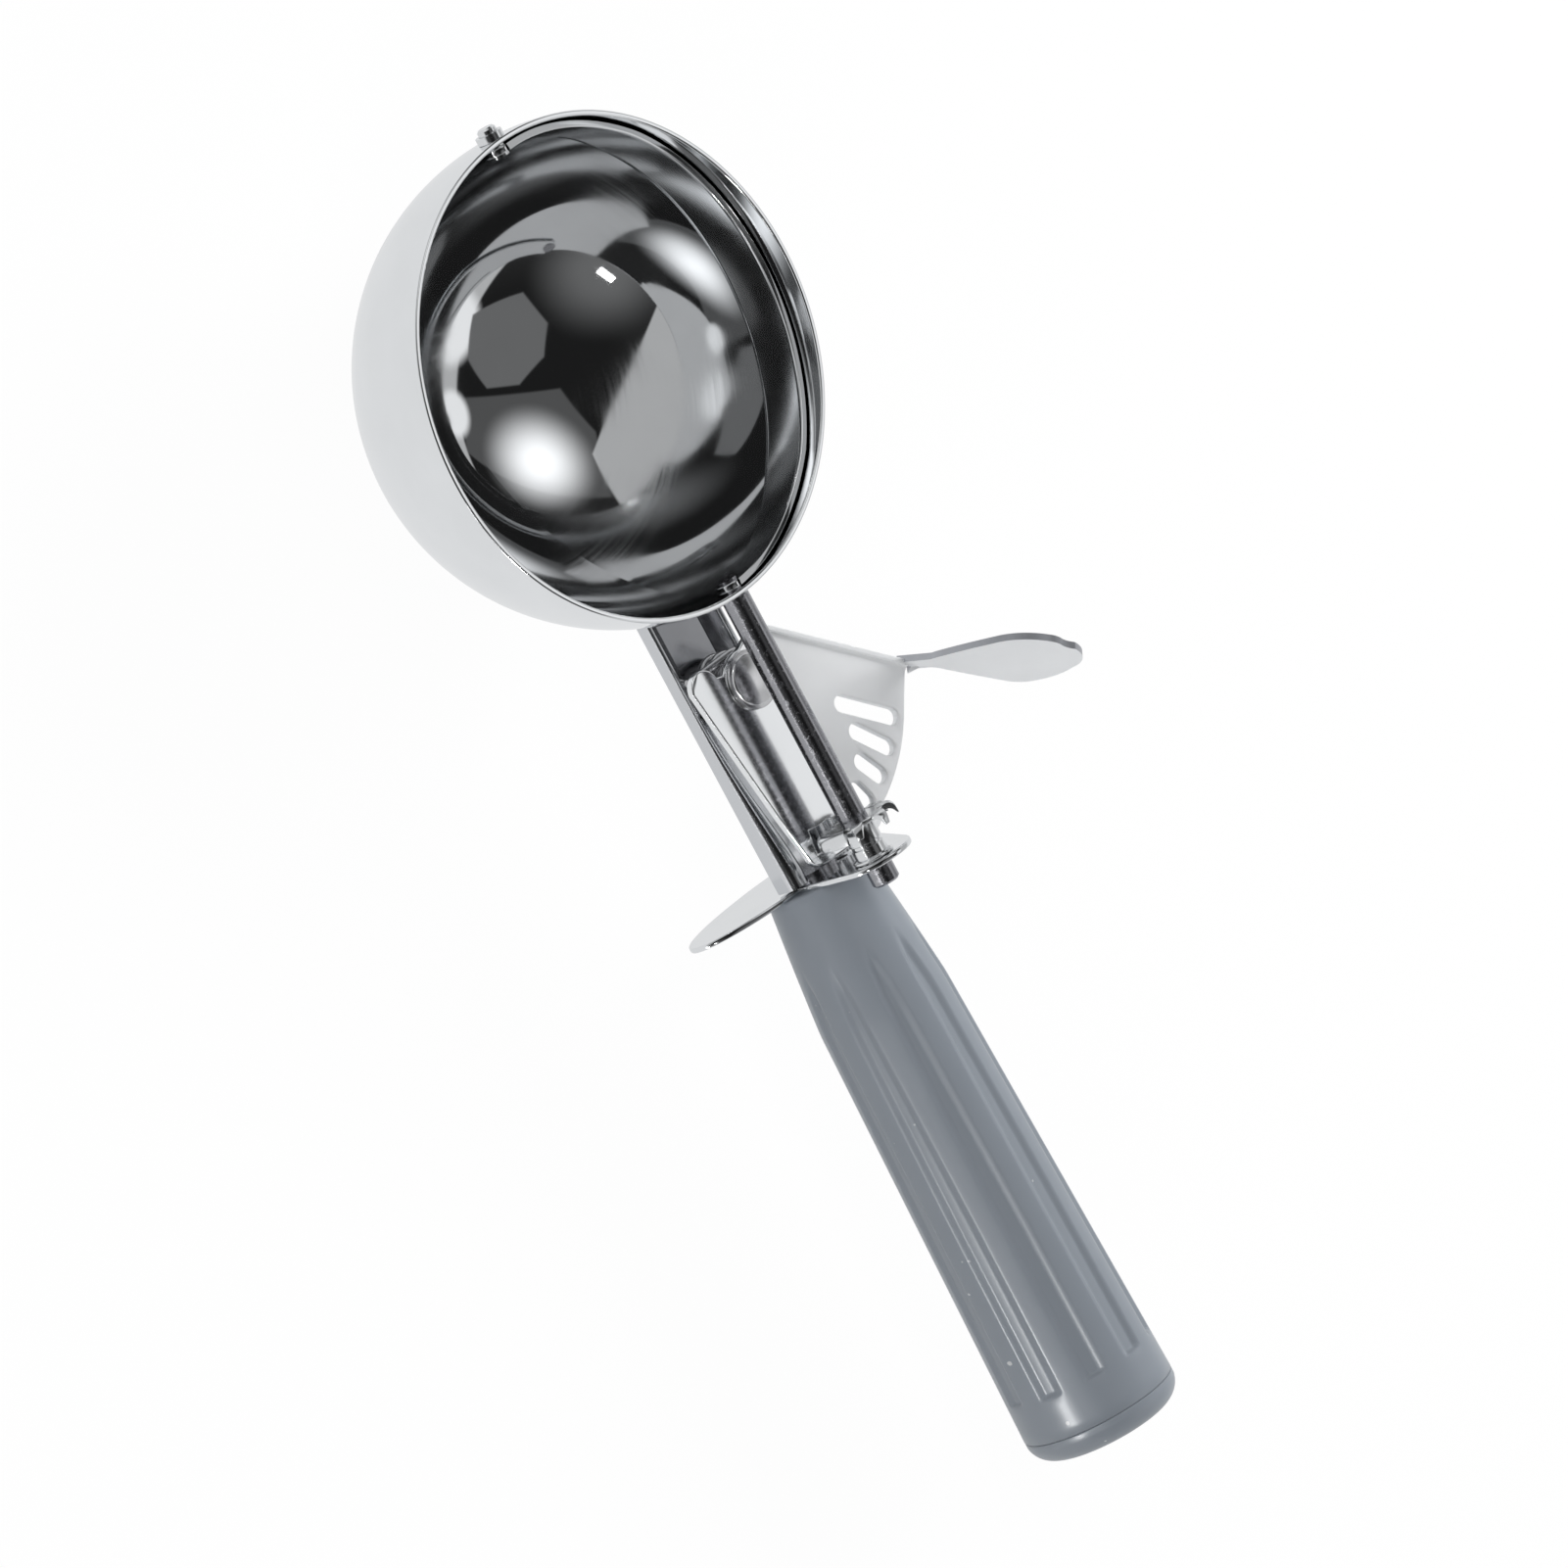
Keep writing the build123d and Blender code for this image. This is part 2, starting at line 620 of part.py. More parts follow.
def tang_washer():
    """Washer at the bottom of the grip's rear recess."""
    with BuildPart() as part:
        rod(TANG_WASHER_R, RECESS_X, RECESS_X + TANG_WASHER_T, z=0)
        rod(THREAD_R, RECESS_X, RECESS_X + TANG_WASHER_T, z=0, mode=Mode.SUBTRACT)
    return part.part


def tang_nut():
    """Hexagon nut that draws the grip against the guard."""
    start = RECESS_X + TANG_WASHER_T
    with BuildPart() as part:
        with BuildSketch(Plane.YZ.offset(start)):
            RegularPolygon(NUT_FLATS / 2, 6, major_radius=False)
            Circle(THREAD_R, mode=Mode.SUBTRACT)
        extrude(amount=NUT_T)
    return part.part


def flute_plane(angle):
    """Start plane of one flute's round cutter, leaning with the grip's taper."""
    rise = (FLUTE_END_R - FLUTE_START_R) / (FLUTE_END - FLUTE_START)
    radius = FLUTE_START_R + FLUTE_R
    turn = math.radians(angle)
    origin = (FLUTE_START, radius * math.cos(turn), radius * math.sin(turn))
    return Plane(origin, z_dir=(1, rise * math.cos(turn), rise * math.sin(turn)))


def handle_grip():
    """Plastic grip with ten shallow flutes that fade out towards the guard."""
    with BuildPart() as part:
        with BuildSketch(Plane.XY):
            with BuildLine():
                neck = ThreePointArc((GRIP_START, GRIP_START_R), NECK_BEND, (GRIP_NECK_X, GRIP_NECK_R))
                body = Line(neck @ 1, (GRIP_END_X, GRIP_END_R))
                face = Line(body @ 1, (GRIP_END_X, 0))
                Line(face @ 1, (GRIP_START, 0))
                Line((GRIP_START, 0), neck @ 0)
            make_face()
        revolve(axis=Axis.X)
        for index in range(FLUTES):
            with BuildSketch(flute_plane(FLUTE_TURN_DEG + 90 + 360 / FLUTES * index)):
                Circle(FLUTE_R)
            extrude(amount=FLUTE_END - FLUTE_START, mode=Mode.SUBTRACT)
        rod(TANG_R, GRIP_START, RECESS_X, z=0, mode=Mode.SUBTRACT)
        rod(RECESS_R, RECESS_X, GRIP_END_X, z=0, mode=Mode.SUBTRACT)
    return part.part


def handle_end_cap():
    """Rounded end cap with a plug that presses into the grip's recess."""
    with BuildPart() as part:
        with BuildSketch(Plane.XY):
            with BuildLine():
                corner = Line((GRIP_END_X, 0), (GRIP_END_X, GRIP_END_R))
                bend = ThreePointArc(corner @ 1, BUTT_BEND, (0, BUTT_FLAT_R))
                Line(bend @ 1, (0, 0))
                Line((0, 0), corner @ 0)
            make_face()
        revolve(axis=Axis.X)
        rod(RECESS_R, GRIP_END_X - PLUG_DEPTH, GRIP_END_X, z=0)
    return part.part


def main():
    """Build every sub-part and write it."""
    washer_z = LEVER_TOP + PLAY
    lower_z = LEVER_Z - PLAY - WASHER_T
    export(bowl(), "bowl")
    export(bowl_saddle(), "bowl_saddle")
    export(front_bushing(), "front_bushing")
    export(scraper_blade(), "scraper_blade")
    export(scraper_pin(), "scraper_pin")
    export(scraper_shaft(), "scraper_shaft")
    export(pinion(), "pinion")
    export(guard_bushing(), "guard_bushing")
    export(shank_channel(), "shank_channel")
    export(finger_guard(), "finger_guard")
    export(thumb_lever(), "thumb_lever")
    export(pivot_rivet(), "pivot_rivet")
    export(pivot_disc(WASHER_R, washer_z, WASHER_T, RIVET_R), "pivot_washer")
    export(pivot_disc(LOWER_WASHER_R, lower_z, WASHER_T, RIVET_R), "lower_washer")
    export(pivot_disc(POST_R, FLOOR_TOP, lower_z - FLOOR_TOP, RIVET_R), "pivot_post")
    export(return_spring(), "return_spring")
    export(handle_tang(), "handle_tang")
    export(tang_washer(), "tang_washer")
    export(tang_nut(), "tang_nut")
    export(handle_grip(), "handle_grip")
    export(handle_end_cap(), "handle_end_cap")
    print(f"least gap of the coil to itself: {coil_gap():.2f} mm")


if __name__ == "__main__":
    main()
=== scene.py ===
"""Studio scene of an ice cream scoop with a thumb lever.

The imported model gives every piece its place. This script dresses the pieces that stay, models the ones that
show finer shapes than the model holds, and adds the studio and the camera. The model's frame is in metres: +X
leaves the handle's butt, +Y points to the thumb pad's side and +Z leaves the bowl's opening. The classes hold
their sizes in millimetres.
"""
import logging
import math
from contextlib import contextmanager
from dataclasses import dataclass
from enum import Enum
from typing import Callable, Iterator, Sequence

import bpy
from mathutils import Matrix, Vector

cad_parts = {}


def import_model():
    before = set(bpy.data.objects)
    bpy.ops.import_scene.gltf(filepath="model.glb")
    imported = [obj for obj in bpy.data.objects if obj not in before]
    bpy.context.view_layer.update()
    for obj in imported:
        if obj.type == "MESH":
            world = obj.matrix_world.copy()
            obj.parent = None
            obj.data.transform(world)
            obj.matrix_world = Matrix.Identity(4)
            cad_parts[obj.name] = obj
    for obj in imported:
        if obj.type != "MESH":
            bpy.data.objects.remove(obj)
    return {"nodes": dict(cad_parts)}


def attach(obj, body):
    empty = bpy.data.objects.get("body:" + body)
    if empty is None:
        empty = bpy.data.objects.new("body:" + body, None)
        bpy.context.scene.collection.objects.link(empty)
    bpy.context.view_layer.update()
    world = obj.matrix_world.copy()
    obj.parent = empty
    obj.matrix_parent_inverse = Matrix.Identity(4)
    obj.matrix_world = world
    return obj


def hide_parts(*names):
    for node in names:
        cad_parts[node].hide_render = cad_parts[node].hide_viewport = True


LOG = logging.getLogger("scoop")
MM = 0.001

Colour = tuple[float, float, float]
Point = tuple[float, float, float]
Pair = tuple[float, float]
Piece = bpy.types.Object
Socket = bpy.types.NodeSocket

FACING_X: tuple[Point, Point] = ((0.0, 1.0, 0.0), (0.0, 0.0, 1.0))


class Tree:
    """Short calls for one shader's nodes, which take values and sockets alike."""

    def __init__(self, tree: bpy.types.NodeTree) -> None:
        """Starts from an empty tree."""
        self.tree = tree
        self.tree.nodes.clear()

    def node(self, kind: str, values: Sequence[object] = (), **options: object) -> bpy.types.Node:
        """Adds a node, sets its options and feeds its first inputs.

        Args:
            kind: The node's type name.
            values: What feeds the inputs in their order, with None for one that is left alone.
            options: Attributes of the node.

        Returns:
            The new node.
        """
        made = self.tree.nodes.new(kind)
        for name, value in options.items():
            setattr(made, name, value)
        for socket, value in zip(made.inputs, values):
            self.feed(socket, value)
        return made

    def feed(self, socket: Socket, value: object) -> None:
        """Links a socket to another one, or sets its value.

        Args:
            socket: The socket that is fed.
            value: The other socket or the value, or None to leave the socket alone.
        """
        if isinstance(value, Socket):
            self.tree.links.new(value, socket)
        elif value is not None:
            socket.default_value = (*value, 1.0) if socket.type == "RGBA" else value

    def math(self, operation: str, *numbers: object) -> Socket:
        """Works out one number from up to three others."""
        return self.node("ShaderNodeMath", numbers, operation=operation).outputs[0]

    def vector(self, operation: str, *vectors: object) -> bpy.types.Node:
        """Works on vectors, for the node's Vector or Value output."""
        return self.node("ShaderNodeVectorMath", vectors, operation=operation)

    def axes(self, place: Socket) -> Sequence[Socket]:
        """Splits a place into its X, Y and Z."""
        return self.node("ShaderNodeSeparateXYZ", (place,)).outputs

    def ramp(self, value: object, low: float, high: float, start: float = 0.0, end: float = 1.0) -> Socket:
        """Steps smoothly from start to end while a value goes from low to high."""
        stops = (value, low, high, start, end)
        return self.node("ShaderNodeMapRange", stops, interpolation_type="SMOOTHSTEP").outputs[0]

    def mix(self, factor: object, first: object, second: object) -> Socket:
        """Mixes two numbers by the share of the second one."""
        return self.node("ShaderNodeMix", (factor, None, first, second), data_type="FLOAT").outputs[0]

    def tint(self, factor: object, first: object, second: object) -> Socket:
        """Mixes two colours by the share of the second one."""
        return self.node("ShaderNodeMix", (factor, *[None] * 5, first, second), data_type="RGBA").outputs[2]

    def noise(self, place: object, scale: float, detail: float = 2.0, rough: float = 0.5) -> Socket:
        """Reads noise around 0.5, with some finer layers over it and their strength."""
        return self.node("ShaderNodeTexNoise", (place, None, scale, detail, rough)).outputs[0]

    def stretched(self, place: Socket, scale: Point) -> Socket:
        """Scales a place unevenly, so that a pattern on it runs in streaks."""
        return self.vector("MULTIPLY", place, scale).outputs[0]

    def bump(self, height: Socket, depth: float, normal: Socket | None = None) -> Socket:
        """Bends a surface normal by a relief with a depth in metres."""
        return self.node("ShaderNodeBump", (1.0, depth, None, height, normal)).outputs[0]

    def shaders(self, factor: Socket, first: bpy.types.Node, second: bpy.types.Node) -> Socket:
        """Mixes two shaders by the share of the second one."""
        return self.node("ShaderNodeMixShader", (factor, first.outputs[0], second.outputs[0])).outputs[0]

    def close(self, kind: str, surface: Socket) -> None:
        """Ends the tree with an output node of a kind."""
        self.node(kind, (surface,))


def blank_material(name: str) -> tuple[bpy.types.Material, Tree]:
    """Makes a material with an empty tree.

    Args:
        name: The material's name.

    Returns:
        The material and its tree.
    """
    made = bpy.data.materials.new(name)
    made.use_nodes = True
    return made, Tree(made.node_tree)


class Streaks(Enum):
    """How a finish's fine lines run."""

    NONE = "none"
    ALONG_X = "along the handle"
    ALONG_Y = "across the handle"
    ROUND_BOWL = "round the bowl's axis"


@dataclass(frozen=True)
class Finish:
    """What every surface has, and how its material is made."""

    name: str
    colour: Colour
    roughness: float

    def toned(self, share: float) -> Colour:
        """The colour, darker or lighter by a share."""
        return tuple(min(1.0, channel * share) for channel in self.colour)

    def dress(self, tree: Tree, place: Socket) -> dict[str, object]:
        """Gives what feeds the shader's inputs, by name, from the tree and the object coordinates."""
        raise NotImplementedError

    def build(self) -> bpy.types.Material:
        """Makes the material.

        Returns:
            The finished material.
        """
        made, tree = blank_material(self.name)
        place = tree.node("ShaderNodeTexCoord").outputs["Object"]
        shader = tree.node("ShaderNodeBsdfPrincipled")
        for name, value in self.dress(tree, place).items():
            tree.feed(shader.inputs[name], value)
        tree.close("ShaderNodeOutputMaterial", shader.outputs[0])
        return made


@dataclass(frozen=True)
class Metal(Finish):
    """A steel surface with fine lines, faint waves and small specks.

    A satin side is duller and milkier beyond some Y. Painted shade darkens the tray's floor by the bowl's
    joint.
    Their places and all depths are in metres. A band is where a noise's share rises from none to all.
    """

    streaks: Streaks = Streaks.NONE
    streak_depth: float = 0.0
    streak_roughness: float = 0.0
    wave_depth: float = 0.0
    wave_scale: float = 60.0
    speck: float = 0.0
    speck_scale: float = 1800.0
    speck_band: Pair = (0.56, 0.66)
    speck_tone: float = 1.25
    speck_roughness: float = 0.25
    speck_depth: float = 0.000006
    centre: Point = (0.0, 0.0, 0.0)
    line_fine: float = 2600.0
    line_slow: float = 40.0
    line_turn: float = 1.2
    line_reach: float = 0.3
    patch_scale: float = 55.0
    patch_band: Pair = (0.45, 0.68)
    smudge: float = 1.5
    smudge_scale: float = 90.0
    smudge_band: Pair = (0.35, 0.7)
    tone: float = 0.93
    tone_scale: float = 140.0
    satin: float = 0.0
    satin_milk: float = 0.46
    satin_y: Pair = (0.003, 0.006)
    # Painted shade on the tray's floor by the bowl's joint: its strength, its colour and where it lies.
    floor_shade: float = 0.0
    floor_shade_colour: Colour = (0.1, 0.1, 0.11)
    floor_shade_x: Pair = (-0.12, -0.113)
    floor_shade_y: Pair = (0.0048, 0.0056)
    floor_shade_z: Pair = (0.0, 0.001)

    def streak_place(self, tree: Tree, place: Socket) -> Socket:
        """Bends the object coordinates, so that noise on them becomes lines.

        Args:
            tree: The material's tree.
            place: The object coordinates.

        Returns:
            A vector that changes slowly along the lines and fast across them.
        """
        fine, slow = self.line_fine, self.line_slow
        if self.streaks is Streaks.ALONG_X:
            return tree.stretched(place, (slow, fine, fine))
        if self.streaks is Streaks.ALONG_Y:
            return tree.stretched(place, (fine, slow, fine))
        moved = tree.vector("SUBTRACT", place, self.centre).outputs[0]
        x, y, z = tree.axes(moved)
        reach = tree.vector("LENGTH", moved).outputs["Value"]
        turn = tree.math("ARCTAN2", y, x)
        scales = ((turn, self.line_turn), (z, fine), (reach, fine * self.line_reach))
        scaled = [tree.math("MULTIPLY", value, scale) for value, scale in scales]
        return tree.node("ShaderNodeCombineXYZ", scaled).outputs[0]

    def floor_shade_share(self, tree: Tree, place: Socket) -> Socket:
        """Finds how much painted shade darkens the tray's floor by the bowl's joint.

        Args:
            tree: The material's tree.
            place: The object coordinates.

        Returns:
            The painted shade's share.
        """
        x, y, z = tree.axes(place)
        near = tree.ramp(x, *self.floor_shade_x, self.floor_shade, 0.0)
        inside = tree.ramp(tree.math("ABSOLUTE", y), *self.floor_shade_y, 1.0, 0.0)
        low = tree.ramp(z, *self.floor_shade_z, 1.0, 0.0)
        return tree.math("MULTIPLY", near, tree.math("MULTIPLY", inside, low))

    def dress(self, tree: Tree, place: Socket) -> dict[str, object]:
        """Works out the steel's colour, gloss and relief.

        Args:
            tree: The material's tree.
            place: The object coordinates.

        Returns:
            What feeds the shader's inputs, by name.
        """
        metallic, normal = 1.0, None
        smudges = tree.noise(place, self.smudge_scale, 4.0)
        rough = tree.ramp(smudges, *self.smudge_band, self.roughness, self.roughness * self.smudge)
        colour = tree.tint(tree.noise(place, self.tone_scale, 3.0), self.toned(self.tone), self.colour)
        # Painted shade: the tray's floor darkens towards a near-black colour by the bowl's joint.
        if self.floor_shade:
            colour = tree.tint(self.floor_shade_share(tree, place), colour, self.floor_shade_colour)
        if self.wave_depth:
            normal = tree.bump(tree.noise(place, self.wave_scale, 1.0), self.wave_depth)
        if self.streaks is not Streaks.NONE:
            lines = tree.noise(self.streak_place(tree, place), 1.0, 3.0, 0.6)
            patches = tree.ramp(tree.noise(place, self.patch_scale), *self.patch_band)
            worn = tree.math("MULTIPLY", lines, patches)
            rough = tree.math("MULTIPLY_ADD", worn, self.streak_roughness, rough)
            normal = tree.bump(lines, self.streak_depth, normal)
        if self.satin:
            share = tree.ramp(tree.axes(place)[1], *self.satin_y)
            rough = tree.math("MULTIPLY_ADD", share, self.satin, rough)
            metallic = tree.math("MULTIPLY_ADD", share, -self.satin_milk, 1.0)
        if self.speck:
            dots = tree.ramp(tree.noise(place, self.speck_scale, 2.0, 0.7), *self.speck_band)
            colour = tree.tint(tree.math("MULTIPLY", dots, self.speck), colour, self.toned(self.speck_tone))
            rough = tree.math("MULTIPLY_ADD", dots, self.speck_roughness * self.speck, rough)
            normal = tree.bump(dots, self.speck_depth * self.speck, normal)
        return {"Base Color": colour, "Roughness": rough, "Metallic": metallic, "Normal": normal}


@dataclass(frozen=True)
class Plastic(Finish):
    """Moulded semi-gloss plastic with a fine skin, faint mottling and a few pale nicks."""

    skin_scale: float = 1500.0
    skin_depth: float = 0.000004
    swell_scale: Point = (25.0, 90.0, 90.0)
    swell_depth: float = 0.0001
    sheen_scale: float = 60.0
    sheen_band: Pair = (0.3, 0.7)
    sheen: Pair = (0.95, 1.1)
    mottle_scale: float = 40.0
    mottle: float = 0.03
    nick_colour: Colour = (0.55, 0.56, 0.57)
    nick_scale: float = 520.0
    nick_band: Pair = (0.79, 0.82)
    scuff: float = 0.25
    scuff_scale: Point = (60.0, 900.0, 900.0)
    scuff_band: Pair = (0.76, 0.84)

    def dress(self, tree: Tree, place: Socket) -> dict[str, object]:
        """Works out the plastic's colour with its scuffs and nicks, its gloss and its relief.

        Args:
            tree: The material's tree.
            place: The object coordinates.

        Returns:
            What feeds the shader's inputs, by name.
        """
        swell = tree.noise(tree.stretched(place, self.swell_scale), 1.0)
        skin = tree.noise(place, self.skin_scale, 3.0, 0.6)
        normal = tree.bump(skin, self.skin_depth, tree.bump(swell, self.swell_depth))
        dull, duller = (self.roughness * share for share in self.sheen)
        rough = tree.ramp(tree.noise(place, self.sheen_scale), *self.sheen_band, dull, duller)
        tones = self.toned(1.0 - self.mottle), self.toned(1.0 + self.mottle)
        colour = tree.tint(tree.noise(place, self.mottle_scale), *tones)
        scuffs = tree.noise(tree.stretched(place, self.scuff_scale), 1.0, 2.0, 0.6)
        share = tree.math("MULTIPLY", tree.ramp(scuffs, *self.scuff_band), self.scuff)
        colour = tree.tint(share, colour, self.nick_colour)
        nicks = tree.ramp(tree.noise(place, self.nick_scale, 1.0), *self.nick_band)
        colour = tree.tint(nicks, colour, self.nick_colour)
        return {"Base Color": colour, "Roughness": rough, "Normal": normal}


def toward(corner: Pair) -> Vector:
    """Turns two angles into a direction.

    Args:
        corner: The angle from +Z in degrees, split along +X and +Y.

    Returns:
        The direction.
    """
    polar = math.radians(math.hypot(*corner))
    azimuth = math.atan2(corner[1], corner[0])
    flat = math.sin(polar)
    return Vector((flat * math.cos(azimuth), flat * math.sin(azimuth), math.cos(polar)))


@dataclass(frozen=True)
class Card:
    """One light or dark card of the studio, seen in directions from the object.

    The corners run round the card anticlockwise, and each edge between them is straight. An open card has no
    edge from its last corner to its first, so it goes on down to the horizon.
    """

    level: float
    corners: Sequence[Pair]
    softness: float = 0.02
    open: bool = False

    def blend(self, tree: Tree, sight: Socket, level: Socket) -> Socket:
        """Lays the card over the room.

        Args:
            tree: The world's tree.
            sight: The direction.
            level: The room's brightness so far.

        Returns:
            The brightness with the card.
        """
        places = [toward(corner) for corner in self.corners]
        ends = places[1:] if self.open else places[1:] + places[:1]
        inside = None
        for start, end in zip(places, ends):
            normal = start.cross(end).normalized()
            depth = tree.vector("DOT_PRODUCT", sight, tuple(normal)).outputs["Value"]
            inside = depth if inside is None else tree.math("MINIMUM", inside, depth)
        return tree.mix(tree.ramp(inside, -self.softness, self.softness), level, self.level)


@dataclass(frozen=True)
class Spot:
    """A round card whose light falls off from a core to its edge, with angles in degrees."""

    level: float
    centre: Pair
    core: float
    reach: float
    added: bool = False

    def blend(self, tree: Tree, sight: Socket, level: Socket) -> Socket:
        """Lays the spot over the room, or adds its light to it.

        Args:
            tree: The world's tree.
            sight: The direction.
            level: The room's brightness so far.

        Returns:
            The brightness with the spot.
        """
        near = tree.vector("DOT_PRODUCT", sight, tuple(toward(self.centre))).outputs["Value"]
        away = tree.math("ARCCOSINE", tree.math("MINIMUM", near, 1.0))
        share = tree.ramp(away, math.radians(self.core), math.radians(self.reach), 1.0, 0.0)
        if self.added:
            return tree.math("MULTIPLY_ADD", share, self.level, level)
        return tree.mix(share, level, self.level)


@dataclass(frozen=True)
class Lamp:
    """A rectangular lamp aimed at the object.

    A mirrored one is seen in gloss alone, and any other one lights without being seen.
    """

    place: Point
    size: Pair
    energy: float
    target: Point = (-0.1, 0.0, 0.0)
    mirrored: bool = False


@dataclass
class Studio:
    """White room, cards and lamps, floor and camera."""

    pale: float = 0.79
    dark: float = 0.012
    floor_z: float = -0.0226
    floor_size: float = 6.0
    floor_tone: float = 0.86
    floor_glow: float = 0.96
    room_tint: Colour = (0.98, 0.99, 1.0)
    wall_height: Pair = (0.5, 0.75)
    wall: float = 0.02
    horizon: Pair = (0.08, 0.24)
    lights: Sequence[Card | Spot] = (
        Card(0.085, ((-3.0, 43.0), (-57.0, 6.0), (-30.0, -15.0), (-5.0, -14.0), (14.0, 30.0)), 0.012),
        Card(0.43, ((-3.0, -59.0), (-26.0, -26.0), (-37.0, -6.0), (-58.0, 5.0)), 0.01, open=True),
        Card(0.46, ((-3.0, 43.0), (57.0, -3.0)), 0.012, open=True),
        Spot(0.86, (11.5, 39.0), 6.0, 10.0),
        Spot(0.86, (41.0, 25.0), 10.0, 16.0),
        Card(0.14, ((42.0, 14.0), (26.0, 21.0), (12.0, 17.0), (6.0, 2.0), (11.0, -14.0), (24.0, -21.0),
                    (42.0, -13.0)), 0.01),
        Spot(1.2, (-25.0, 16.0), 1.0, 27.0, added=True),
        Spot(0.12, (38.0, -50.0), 6.0, 34.0, added=True),
    )
    lamp_plan: Sequence[Lamp] = (
        Lamp((-0.5, -0.4, 1.6), (1.2, 1.2), 9.5),
        Lamp((0.35, -1.1, 0.8), (0.5, 0.5), 5.0),
        Lamp((-0.2, 0.9, 0.5), (0.6, 0.5), 9.0),
        Lamp((0.002, -0.226, 0.146), (0.045, 0.018), 0.014, (-0.165, 0.0, 0.013), True),
        Lamp((0.035, -0.215, 0.03), (0.05, 0.025), 0.24, (-0.01, 0.0, 0.0), True),
        Lamp((0.2, -0.98, 0.12), (0.14, 0.08), 0.24, (-0.01, 0.0, 0.0), True),
    )
    camera_place: Point = (-0.5674, -1.5752, 1.91414)
    camera_turn: Point = (12.9149, -38.9225, 53.4804)
    camera_lens: float = 423.33

    def world(self) -> None:
        """Builds the room: white to the camera, pale below and dark with cards above to the object."""
        world = bpy.data.worlds.new("white_room")
        bpy.context.scene.world = world
        world.use_nodes = True
        tree = Tree(world.node_tree)
        sight = tree.node("ShaderNodeTexCoord").outputs["Generated"]
        height = tree.vector("DOT_PRODUCT", sight, (0.0, 0.0, 1.0)).outputs["Value"]
        level = tree.ramp(height, *self.wall_height, self.wall, self.dark)
        for light in self.lights:
            level = light.blend(tree, sight, level)
        level = tree.mix(tree.ramp(height, *self.horizon), self.pale, level)
        room = tree.node("ShaderNodeBackground", (self.room_tint, level))
        white = tree.node("ShaderNodeBackground", ((1.0, 1.0, 1.0),))
        seen = tree.node("ShaderNodeLightPath").outputs["Is Camera Ray"]
        tree.close("ShaderNodeOutputWorld", tree.shaders(seen, room, white))

    def floor(self) -> None:
        """Lays the pale floor just under the bowl."""
        bpy.ops.mesh.primitive_plane_add(size=self.floor_size, location=(-0.1, 0.0, self.floor_z))
        floor = bpy.context.object
        floor.name = "studio_floor"
        made, tree = blank_material("pale_floor")
        paint = tree.node("ShaderNodeBsdfDiffuse", ((self.floor_tone,) * 3,))
        glow = tree.node("ShaderNodeEmission")
        camera_ray = tree.node("ShaderNodeLightPath").outputs["Is Camera Ray"]
        seen = tree.math("MULTIPLY", camera_ray, self.floor_glow)
        tree.close("ShaderNodeOutputMaterial", tree.shaders(seen, paint, glow))
        floor.data.materials.append(made)
        floor.visible_glossy = False

    def camera(self) -> None:
        """Sets the camera where the photograph was taken from."""
        bpy.ops.object.camera_add(location=self.camera_place)
        camera = bpy.context.object
        camera.rotation_euler = tuple(math.radians(angle) for angle in self.camera_turn)
        camera.data.lens = self.camera_lens
        camera.data.sensor_width = 36.0
        camera.data.clip_end = 20.0
        bpy.context.scene.camera = camera

    def lamps(self) -> None:
        """Adds the lamps."""
        for lamp in self.lamp_plan:
            bpy.ops.object.light_add(type="AREA", location=lamp.place)
            made = bpy.context.object
            made.data.shape = "RECTANGLE"
            made.data.energy = lamp.energy
            made.data.size, made.data.size_y = lamp.size
            aim = Vector(lamp.target) - made.location
            made.rotation_euler = aim.to_track_quat("-Z", "Y").to_euler()
            made.visible_glossy = lamp.mirrored
            made.visible_diffuse = not lamp.mirrored
            made.visible_camera = False

    def build(self) -> None:
        """Builds the whole studio."""
        self.world()
        self.floor()
        self.lamps()
        self.camera()
        bpy.context.scene.view_settings.view_transform = "Standard"
        LOG.info("studio: %d cards and spots", len(self.lights))


def pick(*objects: Piece) -> Piece:
    """Selects only these objects.

    Args:
        objects: The objects, of which the first one becomes active.

    Returns:
        The first one.
    """
    bpy.ops.object.select_all(action="DESELECT")
    for chosen in objects:
        chosen.select_set(True)
    bpy.context.view_layer.objects.active = objects[0]
    return objects[0]


@contextmanager
def editing(piece: Piece) -> Iterator[Piece]:
    """Opens a piece in edit mode with all of it selected, and leaves edit mode at the end.

    Args:
        piece: The piece.

    Yields:
        The piece.
    """
    pick(piece)
    bpy.ops.object.mode_set(mode="EDIT")
    bpy.ops.mesh.select_all(action="SELECT")
    yield piece
    bpy.ops.object.mode_set(mode="OBJECT")


def join(pieces: Sequence[Piece]) -> Piece:
    """Joins pieces.

    Args:
        pieces: The pieces.

    Returns:
        The first one, which holds them all.
    """
    pick(*pieces)
    bpy.ops.object.join()
    return bpy.context.object


def tidy(piece: Piece, gap: float = 0.000002) -> None:
    """Merges doubled points and turns all faces outwards.

    Args:
        piece: The piece.
        gap: How far apart merged points may lie, in metres.
    """
    with editing(piece):
        bpy.ops.mesh.remove_doubles(threshold=gap)
        bpy.ops.mesh.normals_make_consistent(inside=False)


def modify(piece: Piece, kind: str, **options: object) -> None:
    """Adds a modifier, sets it and applies it.

    Args:
        piece: The piece.
        kind: The modifier's type.
        options: The modifier's settings.
    """
    pick(piece)
    added = piece.modifiers.new(kind.lower(), kind)
    for name, value in options.items():
        setattr(added, name, value)
    bpy.ops.object.modifier_apply(modifier=added.name)


def settle(piece: Piece, matrix: Matrix) -> Piece:
    """Moves a piece's mesh to its place and keeps its object at the origin.

    Args:
        piece: The piece.
        matrix: The move.

    Returns:
        The piece.
    """
    piece.matrix_world = matrix @ piece.matrix_world
    pick(piece)
    bpy.ops.object.transform_apply(location=True, rotation=True, scale=True)
    return piece


